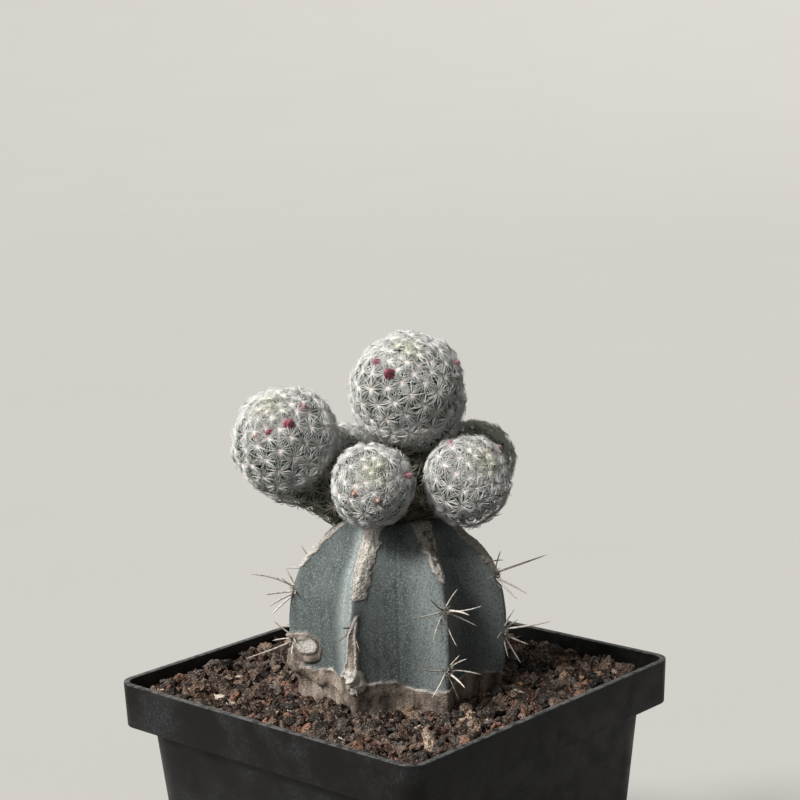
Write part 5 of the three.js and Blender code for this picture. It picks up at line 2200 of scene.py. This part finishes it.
@dataclass
class Soil:
    """Loose mineral soil: a dark bed, and grains of four kinds that lie on it."""

    # The bed lies this far below the rim, higher round the stock and lower in two corners.
    level: float = 3.3
    mound: float = 0.9
    mound_reach: tuple[float, float] = (20, 38)
    corner_dip: float = 1.6
    right_dip: tuple[float, float] = (50, 76)
    left_dip: tuple[float, float] = (62, 80)
    relief: float = 0.6
    relief_cell: float = 4.5
    # The body of soil under the grains: its drop below them, its corners and the step under the band.
    drop: float = 0.35
    gap: float = 0.1
    corner: float = 2.6
    body_corner: float = 7.2
    step: float = 2.6
    ledge_below_rim: float = 7.5
    foot_half: float = 29.9
    floor: float = 2.4
    # Radius and height of the hollow for the stock, from the stock's axis and the rim.
    socket: tuple[tuple[float, float], ...] = (
        (0, -16.6), (12.3, -16.4), (17.3, -12.4), (19.6, -6.2), (20.6, -3.4), (22, 4),
    )
    columns: int = 170
    rows: int = 76
    top_rows: int = 64
    row_power: float = 0.8
    # The grains: how many are thrown, how often each is tried, and how close they may lie to each
    # other, to the pot and to the stock, as shares of their radius.
    grains: int = 7600
    size_power: float = 3.2
    tries: int = 12
    packing: float = 0.62
    pot_share: float = 0.9
    stock_share: float = 0.5
    square: float = 1.5
    buried_height: float = -1.5
    # Their shape: flat cuts at shares of the radius, dents, and how they vary, lean and lie.
    cuts: int = 7
    cut_depths: tuple[float, float] = (0.5, 0.95)
    dent: float = 0.17
    size_vary: tuple[float, float] = (0.75, 1.3)
    lean: float = 0.35
    lift: tuple[float, float] = (-0.25, 0.8)
    tone_power: float = 2.1
    # Below and above these half sizes a grain is made from the coarse and from the fine ball.
    detail_sizes: tuple[float, float] = (0.72, 1.7)
    seed: int = 7
    chips: tuple[Chip, ...] = (
        Chip(8.5, -25.6, (1.9, 1.2, 0.5), 132, GrainKind.PUMICE, 1.0),
        Chip(-9.5, -26.3, (1.9, 1.4, 1.0), 20, GrainKind.PUMICE, 0.2),
        Chip(-24.4, -31.1, (2.1, 1.7, 1.5), 110, GrainKind.PUMICE, 0.3),
        Chip(-19.3, -22.2, (1.6, 0.9, 0.6), 140, GrainKind.PUMICE, 0.25),
        Chip(-17.0, -32.0, (1.4, 0.8, 0.5), 150, GrainKind.PUMICE, 0.25),
        Chip(-26.1, -16.5, (1.0, 0.9, 0.8), 75, GrainKind.PUMICE, 0.9),
        Chip(-25.8, 3.9, (1.5, 1.2, 1.0), 20, GrainKind.PUMICE, 1.0),
        Chip(-27.6, 33.2, (1.3, 0.7, 0.6), 60, GrainKind.PUMICE, 0.85),
        Chip(-29.8, 19.8, (3.0, 1.1, 0.8), 62, GrainKind.PUMICE, 0.7),
        Chip(-30.5, 3.8, (1.3, 1.1, 1.0), 40, GrainKind.PUMICE, 0.2),
        Chip(21.6, -25.7, (1.4, 1.1, 0.9), 40, GrainKind.PUMICE, 0.15),
        Chip(24.4, -27.6, (1.2, 1.0, 0.8), 100, GrainKind.PUMICE, 0.1),
        Chip(30.3, -28.0, (1.3, 1.1, 0.8), 10, GrainKind.PUMICE, 0.15),
        Chip(-28.1, 26.6, (2.7, 2.3, 2.0), 10, GrainKind.LOAM, 1.0),
        Chip(-30.1, 12.9, (1.5, 1.3, 1.1), 70, GrainKind.CLAY, 1.0),
        Chip(-30.4, -14.3, (1.9, 1.6, 1.3), 30, GrainKind.LAVA, 0.2),
    )

    half: float = field(init=False)
    rim: float = field(init=False)

    def __post_init__(self) -> None:
        """Reads the pot's inside from the frame."""
        self.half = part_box("soil")[1].x / MM - self.gap
        self.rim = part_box("pot")[1].z / MM

    def surface(self, x: np.ndarray, y: np.ndarray, axis: np.ndarray) -> np.ndarray:
        """Height of the bed: a low mound round the stock, dips in the corners right and left.

        Args:
            x: Places from the frame's middle.
            y: Places from the frame's middle.
            axis: The stock's axis.

        Returns:
            A height for each place, in the frame.
        """
        away = np.hypot(x - axis[0], y - axis[1])
        mound = self.mound * (1 - smoothstep(away, *self.mound_reach))
        right = self.corner_dip * smoothstep(x - y, *self.right_dip)
        left = self.corner_dip * smoothstep(y - x, *self.left_dip)
        uneven = fractal_noise(np.stack([x, y, 0 * x], axis=-1), self.relief_cell, 51)
        return self.rim - self.level + mound - right - left + self.relief * uneven

    @staticmethod
    def reach(
        bearing: np.ndarray, half: np.ndarray | float, corner: np.ndarray | float
    ) -> np.ndarray:
        """Distance from the middle to the edge of a square with round corners.

        Args:
            bearing: Degrees round the middle.
            half: Half the square's width.
            corner: Radius of its corners.

        Returns:
            A distance for each bearing.
        """
        turn = np.radians(bearing) % (math.pi / 2)
        turn = np.minimum(turn, math.pi / 2 - turn)
        inner = half - corner
        toward = inner * (np.cos(turn) + np.sin(turn))
        arc = toward + np.sqrt(np.maximum(0, toward**2 - 2 * inner**2 + corner**2))
        return np.where(half * np.tan(turn) <= inner, half / np.cos(turn), arc)

    def bed(self, stock: Stock, material: bpy.types.Material) -> None:
        """Makes the body of soil, with the hollow that the stock stands in.

        Args:
            stock: The stock that stands in it.
            material: The dark soil.
        """
        rows, top_rows = self.rows, self.top_rows
        socket_radius, socket_height = np.array(self.socket).T
        ledge, body_half = self.rim - self.ledge_below_rim, self.half - self.step
        # Shares of the side's rows: those in the band, and those down to the ledge.
        band_share, ledge_share = 0.3, 0.4

        def place(around: np.ndarray, along: np.ndarray) -> np.ndarray:
            """The bed, its side and its underside.

            Args:
                around: Shares of the way round.
                along: Shares of the way from the first end to the last.

            Returns:
                Their places in millimetres.
            """
            row = along * rows
            bearing = 360 * around
            out = along_bearing(bearing)
            share = np.clip(row / top_rows, 0, 1) ** self.row_power
            spot = out * (share * self.reach(bearing, self.half, self.corner))[:, None]
            bed = self.surface(spot[:, 0], spot[:, 1], stock.axis) - self.drop
            away = np.hypot(spot[:, 0] - stock.axis[0], spot[:, 1] - stock.axis[1])
            socket = self.rim + np.interp(away, socket_radius, socket_height)
            height = np.where(away < socket_radius[-1], np.minimum(bed, socket), bed)
            down = np.clip((row - top_rows) / (rows - top_rows - 2), 0, 1)
            body_share = (down - ledge_share) / (1 - ledge_share)
            side_height = np.where(
                down < ledge_share, height + (ledge - height) * down / ledge_share,
                ledge + (self.floor - ledge) * body_share,
            )
            narrowed = body_half + (self.foot_half - body_half) * np.clip(body_share, 0, 1)
            side_half = np.where(down < band_share, self.half, narrowed)
            side_corner = np.where(down < band_share, self.corner, self.body_corner)
            below = row > top_rows
            side = out * self.reach(bearing, side_half, side_corner)[:, None]
            spot = np.where(below[:, None], side, spot)
            spot = np.where((row > rows - 0.5)[:, None], 0, spot)
            spot[:, 2] = np.where(below, side_height, height)
            return spot

        item = wrapped_sheet("soil_bed", self.columns, rows, place)
        close_sheet(item)
        finish_piece(item, Slot.SOIL, material, "soil")

    def scatter(self, stock: Stock, draw: np.random.Generator) -> tuple[np.ndarray, ...]:
        """Throws grains into the pot, the large ones first, so that they hardly overlap.

        Args:
            stock: The stock that they lie round.
            draw: The random source.

        Returns:
            Places, radii, and the index of each grain's kind.
        """
        kinds = [kind.value for kind in GrainKind]
        shares = np.array([kind.share for kind in kinds])
        chosen = draw.choice(len(kinds), self.grains, p=shares / shares.sum())
        smallest = np.array([kinds[i].smallest for i in chosen])
        largest = np.array([kinds[i].largest for i in chosen])
        radii = smallest + (largest - smallest) * draw.random(self.grains) ** self.size_power
        order = np.argsort(-radii)
        chosen, radii = chosen[order], radii[order]
        limit = (self.half - self.pot_share * radii)[:, None, None]
        spots = draw.uniform(-1, 1, (self.grains, self.tries, 2)) * limit
        offset = (spots - stock.axis[:2]).reshape(-1, 2)
        bearing = np.degrees(np.arctan2(offset[:, 1], offset[:, 0]))
        ground = stock.radius(bearing, np.full(len(bearing), self.buried_height))
        away = np.hypot(*offset.T)
        free = (away - ground).reshape(self.grains, -1) > self.stock_share * radii[:, None]
        packing, square = self.packing, self.square
        squares: dict[tuple[int, int], list[tuple[float, float, float]]] = {}
        places, kept = [], np.zeros(self.grains, bool)
        for index, radius in enumerate(radii):
            span = math.ceil(packing * (radius + radii[0]) / square)
            for attempt in np.flatnonzero(free[index]):
                x, y = spots[index, attempt]
                column, row = int(x // square), int(y // square)
                near = (
                    grain for i in range(column - span, column + span + 1)
                    for j in range(row - span, row + span + 1) for grain in squares.get((i, j), ())
                )
                if any(math.hypot(x - gx, y - gy) < packing * (radius + gr) for gx, gy, gr in near):
                    continue
                squares.setdefault((column, row), []).append((x, y, radius))
                places.append((x, y))
                kept[index] = True
                break
        return np.array(places), radii[kept], chosen[kept]

    def stones(self, template: Template, count: int, draw: np.random.Generator) -> np.ndarray:
        """Angular stones of radius one: balls that are cut flat on random sides and dented.

        Args:
            template: A ball.
            count: How many stones.
            draw: The random source.

        Returns:
            Their points, by stone.
        """
        points = np.repeat(template.points[None], count, axis=0)
        for _ in range(self.cuts):
            side = unit(draw.standard_normal((count, 1, 3)))
            cut = draw.uniform(*self.cut_depths, (count, 1))
            over = np.maximum(0, (points * side).sum(axis=2) - cut)
            points = points - over[..., None] * side
        return points * (1 + self.dent * draw.standard_normal((count, len(template.points), 1)))

    def loose(self, stock: Stock, finishes: dict[GrainKind, bpy.types.Material]) -> None:
        """Makes all grains, one piece for each kind.

        Args:
            stock: The stock that stands between them.
            finishes: The material of each kind.
        """
        draw = np.random.default_rng(self.seed)
        places, radii, chosen = self.scatter(stock, draw)
        balls = [ball_template(detail) for detail in (1, 2, 3)]
        for index, kind in enumerate(GrainKind):
            picked = chosen == index
            count = int(picked.sum())
            chips = [chip for chip in self.chips if chip.kind is kind]
            spots = np.vstack([places[picked], [(chip.x, chip.y) for chip in chips]])
            size = np.repeat(radii[picked][:, None], 3, axis=1)
            size = size * draw.uniform(*self.size_vary, (count, 3))
            size[:, 2] *= kind.value.flatness
            size = np.vstack([size, [chip.sizes for chip in chips]])
            turn = np.concatenate([draw.uniform(0, 360, count), [chip.bearing for chip in chips]])
            tone = np.concatenate([draw.random(count) ** self.tone_power, [chip.tone for chip in chips]])
            reach = size.max(axis=1)
            small, large = reach < self.detail_sizes[0], reach > self.detail_sizes[1]
            points, triangles, tones, start = [], [], [], 0
            for ball, group in zip(balls, (small, ~small & ~large, large)):
                number = int(group.sum())
                stones = self.stones(ball, number, draw) * size[group][:, None]
                lean = self.lean * draw.standard_normal((number, 2))
                stones = self.turned(stones, turn[group], lean)
                floor = self.surface(spots[group][:, 0], spots[group][:, 1], stock.axis)
                lift = draw.uniform(*self.lift, number) * size[group].min(axis=1)
                centre = np.column_stack([spots[group], floor + lift])
                points.append((stones + centre[:, None]).reshape(-1, 3))
                triangles.append(ball.repeated(number) + start)
                tones.append(np.repeat(tone[group], len(ball.points)))
                start += len(points[-1])
            item = loose_mesh(kind.value.piece, np.vstack(points), np.vstack(triangles), smooth=False)
            set_mark(item, "tone", np.concatenate(tones))
            finish_piece(item, Slot.SOIL, finishes[kind])

    @staticmethod
    def turned(stones: np.ndarray, bearing: np.ndarray, lean: np.ndarray) -> np.ndarray:
        """Turns each stone about Z and leans it over a little.

        Args:
            stones: Their points, by stone.
            bearing: Degrees for each stone.
            lean: How far each leans along X and along Y.

        Returns:
            The turned points.
        """
        angle = np.radians(bearing)[:, None]
        x = stones[..., 0] * np.cos(angle) - stones[..., 1] * np.sin(angle)
        y = stones[..., 0] * np.sin(angle) + stones[..., 1] * np.cos(angle)
        z = stones[..., 2] + lean[:, :1] * x + lean[:, 1:] * y
        return np.stack([x, y, z], axis=-1)


# The studio


@dataclass(frozen=True)
class Lamp:
    """A far soft light: where it shines from in degrees, the angle that it fills, and its power."""

    name: str
    bearing: float
    elevation: float
    softness: float
    power: float
    tint: Colour

    def hang(self) -> None:
        """Puts the light in the scene."""
        data = bpy.data.lights.new(self.name, "SUN")
        data.energy = self.power
        data.angle = math.radians(self.softness)
        data.color = self.tint
        item = bpy.data.objects.new(self.name, data)
        bpy.context.scene.collection.objects.link(item)
        lift = math.radians(self.elevation)
        toward = along_bearing(np.array(self.bearing)) * math.cos(lift) + upward(math.sin(lift))
        side = unit(np.cross([0, 0, 1.0], toward))
        item.matrix_world = Matrix((side, np.cross(toward, side), toward)).transposed().to_4x4()


@dataclass
class Studio:
    """Camera, plain pale floor and soft light. The camera is fitted to the pot's rim."""

    lens: float = 89.0
    sensor: float = 36.0
    yaw: float = 47.8606
    pitch: float = 10.1750
    roll: float = -1.6603
    eye: tuple[float, float, float] = (-283.283, -259.426, 196.162)
    clip: tuple[float, float] = (0.01, 50)
    # The flat floor's radius in metres, and the radius and turn of the curve in which it rises.
    floor_radius: float = 1.5
    floor_sides: int = 128
    floor_smooth: float = 30
    cove_radius: float = 6.0
    cove_turn: float = 50
    cove_steps: int = 20
    # A wide window to the left, brightest toward the camera, and weak fills from before and behind.
    lamps: tuple[Lamp, ...] = (
        Lamp("window", 178, 43, 12, 2.75, (1.0, 0.985, 0.96)),
        Lamp("window side", 146, 42, 30, 2.8, (1.0, 0.985, 0.96)),
        Lamp("fill", 222, 27, 60, 0.25, (1.0, 1.0, 1.0)),
        Lamp("back fill", 30, 35, 60, 0.45, (1.0, 1.0, 1.0)),
    )
    sky: Colour = (1.0, 0.99, 0.96)
    sky_strength: float = 0.09

    def directions(self) -> tuple[np.ndarray, np.ndarray, np.ndarray]:
        """The camera's right, up and forward directions.

        Returns:
            Three directions of length one.
        """
        yaw, pitch, roll = (math.radians(v) for v in (self.yaw, self.pitch, self.roll))
        heading = np.array([math.sin(yaw), math.cos(yaw), 0])
        forward = heading * math.cos(pitch) - upward(math.sin(pitch))
        level = np.array([math.cos(yaw), -math.sin(yaw), 0])
        upright = np.cross(level, forward)
        right = level * math.cos(roll) + upright * math.sin(roll)
        return right, np.cross(right, forward), forward

    def camera(self) -> None:
        """Puts the camera at the photograph's viewpoint."""
        right, up, forward = self.directions()
        data = bpy.data.cameras.new("camera")
        data.lens = self.lens
        data.sensor_width = self.sensor
        data.clip_start, data.clip_end = self.clip
        item = bpy.data.objects.new("camera", data)
        bpy.context.scene.collection.objects.link(item)
        turn = Matrix((right, up, -forward)).transposed().to_4x4()
        turn.translation = [part * MM for part in self.eye]
        item.matrix_world = turn
        bpy.context.scene.camera = item

    def cove(self) -> None:
        """A round pale floor whose edge curves up into a low wall."""
        deselect_all()
        bpy.ops.mesh.primitive_circle_add(
            vertices=self.floor_sides, radius=self.floor_radius, fill_type="NGON"
        )
        floor = bpy.context.object
        floor.name = "floor"
        bpy.ops.object.mode_set(mode="EDIT")
        bpy.ops.mesh.select_mode(type="EDGE")
        bpy.ops.mesh.select_all(action="SELECT")
        reach = self.floor_radius
        turns = np.radians(np.linspace(0, self.cove_turn, self.cove_steps + 1)).tolist()
        for low, high in zip(turns, turns[1:]):
            rise = self.cove_radius * (math.cos(low) - math.cos(high))
            wider = reach + self.cove_radius * (math.sin(high) - math.sin(low))
            bpy.ops.mesh.extrude_edges_move(TRANSFORM_OT_translate={"value": (0, 0, rise)})
            bpy.ops.transform.resize(value=(wider / reach, wider / reach, 1), center_override=(0, 0, 0))
            reach = wider
        bpy.ops.object.mode_set(mode="OBJECT")
        bpy.ops.object.shade_smooth_by_angle(angle=math.radians(self.floor_smooth))
        floor.data.materials.append(FloorFinish().material())
        floor.visible_diffuse = False

    def build(self) -> None:
        """Makes camera, lights, sky and floor."""
        self.camera()
        for lamp in self.lamps:
            lamp.hang()
        self.cove()
        world = bpy.data.worlds.new("sky")
        bpy.context.scene.world = world
        world.use_nodes = True
        background = world.node_tree.nodes["Background"]
        background.inputs["Color"].default_value = (*self.sky, 1)
        background.inputs["Strength"].default_value = self.sky_strength
        view = bpy.context.scene.view_settings
        view.view_transform = "Standard"
        view.look = "None"


GRAIN_FINISHES = {
    GrainKind.LOAM: GrainFinish("loam crumb", (0.030, 0.020, 0.015), (0.29, 0.205, 0.155)),
    GrainKind.LAVA: GrainFinish("lava grit", (0.015, 0.012, 0.010), (0.19, 0.155, 0.135)),
    GrainKind.CLAY: GrainFinish("fired clay", (0.05, 0.027, 0.020), (0.34, 0.185, 0.125)),
    GrainKind.PUMICE: GrainFinish("pumice", (0.38, 0.22, 0.11), (0.78, 0.74, 0.67)),
}
BED_FINISH = GrainFinish("soil bed", (0.018, 0.011, 0.008), (0.018, 0.011, 0.008))
BUD_FINISHES = {
    BudKind.FRESH: BudFinish("fresh bud", (0.25, 0.02, 0.05), (0.42, 0.12, 0.16)),
    BudKind.FADED: BudFinish("faded bud", (0.36, 0.12, 0.16), (0.52, 0.30, 0.33)),
    BudKind.WILTED: BudFinish("wilted bud", (0.38, 0.18, 0.13), (0.55, 0.38, 0.30)),
}


def fill_with_soil(stock: Stock) -> None:
    """Makes the bed of soil round the stock and the loose grains on it.

    Args:
        stock: The stock that stands in the soil.
    """
    soil = Soil()
    finishes = {kind: finish.material() for kind, finish in GRAIN_FINISHES.items()}
    soil.bed(stock, BED_FINISH.material())
    soil.loose(stock, finishes)


def grow_heads(stock: Stock) -> None:
    """Makes the six heads on top of the stock, each with its body, its stars and its buds.

    Args:
        stock: The stock that the heads stand on.
    """
    flesh = TubercleFinish().material()
    whites = {finish: finish.material() for finish in dict.fromkeys(head.finish for head in HEADS)}
    buds = {kind: finish.material() for kind, finish in BUD_FINISHES.items()}
    spine, pad, bud = spine_template(3, StarRule.cuts), ball_template(1), bud_template()
    for head in HEADS:
        head.prepare(stock.axis)
    for seed, head in enumerate(HEADS, start=100):
        sites = head.sites()
        others = [other for other in HEADS if other is not head]
        head.body(sites.places, flesh)
        head.stars(sites, others, spine, pad, whites[head.finish], seed)
        head.flower_buds(bud, buds)


def main() -> None:
    """Builds every piece in order."""
    logging.basicConfig(level=logging.INFO, format="%(relativeCreated)d ms %(message)s")
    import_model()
    Studio().build()
    Pot().build(PlasticFinish().material(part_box("pot")[1].z / MM))
    stock = Stock()
    stock.body(StockFinish().material())
    StockSpines(stock).build(StockSpineFinish().material())
    GraftUnion().build(stock, CorkFinish().material())
    fill_with_soil(stock)
    grow_heads(stock)


if __name__ == "__main__":
    main()
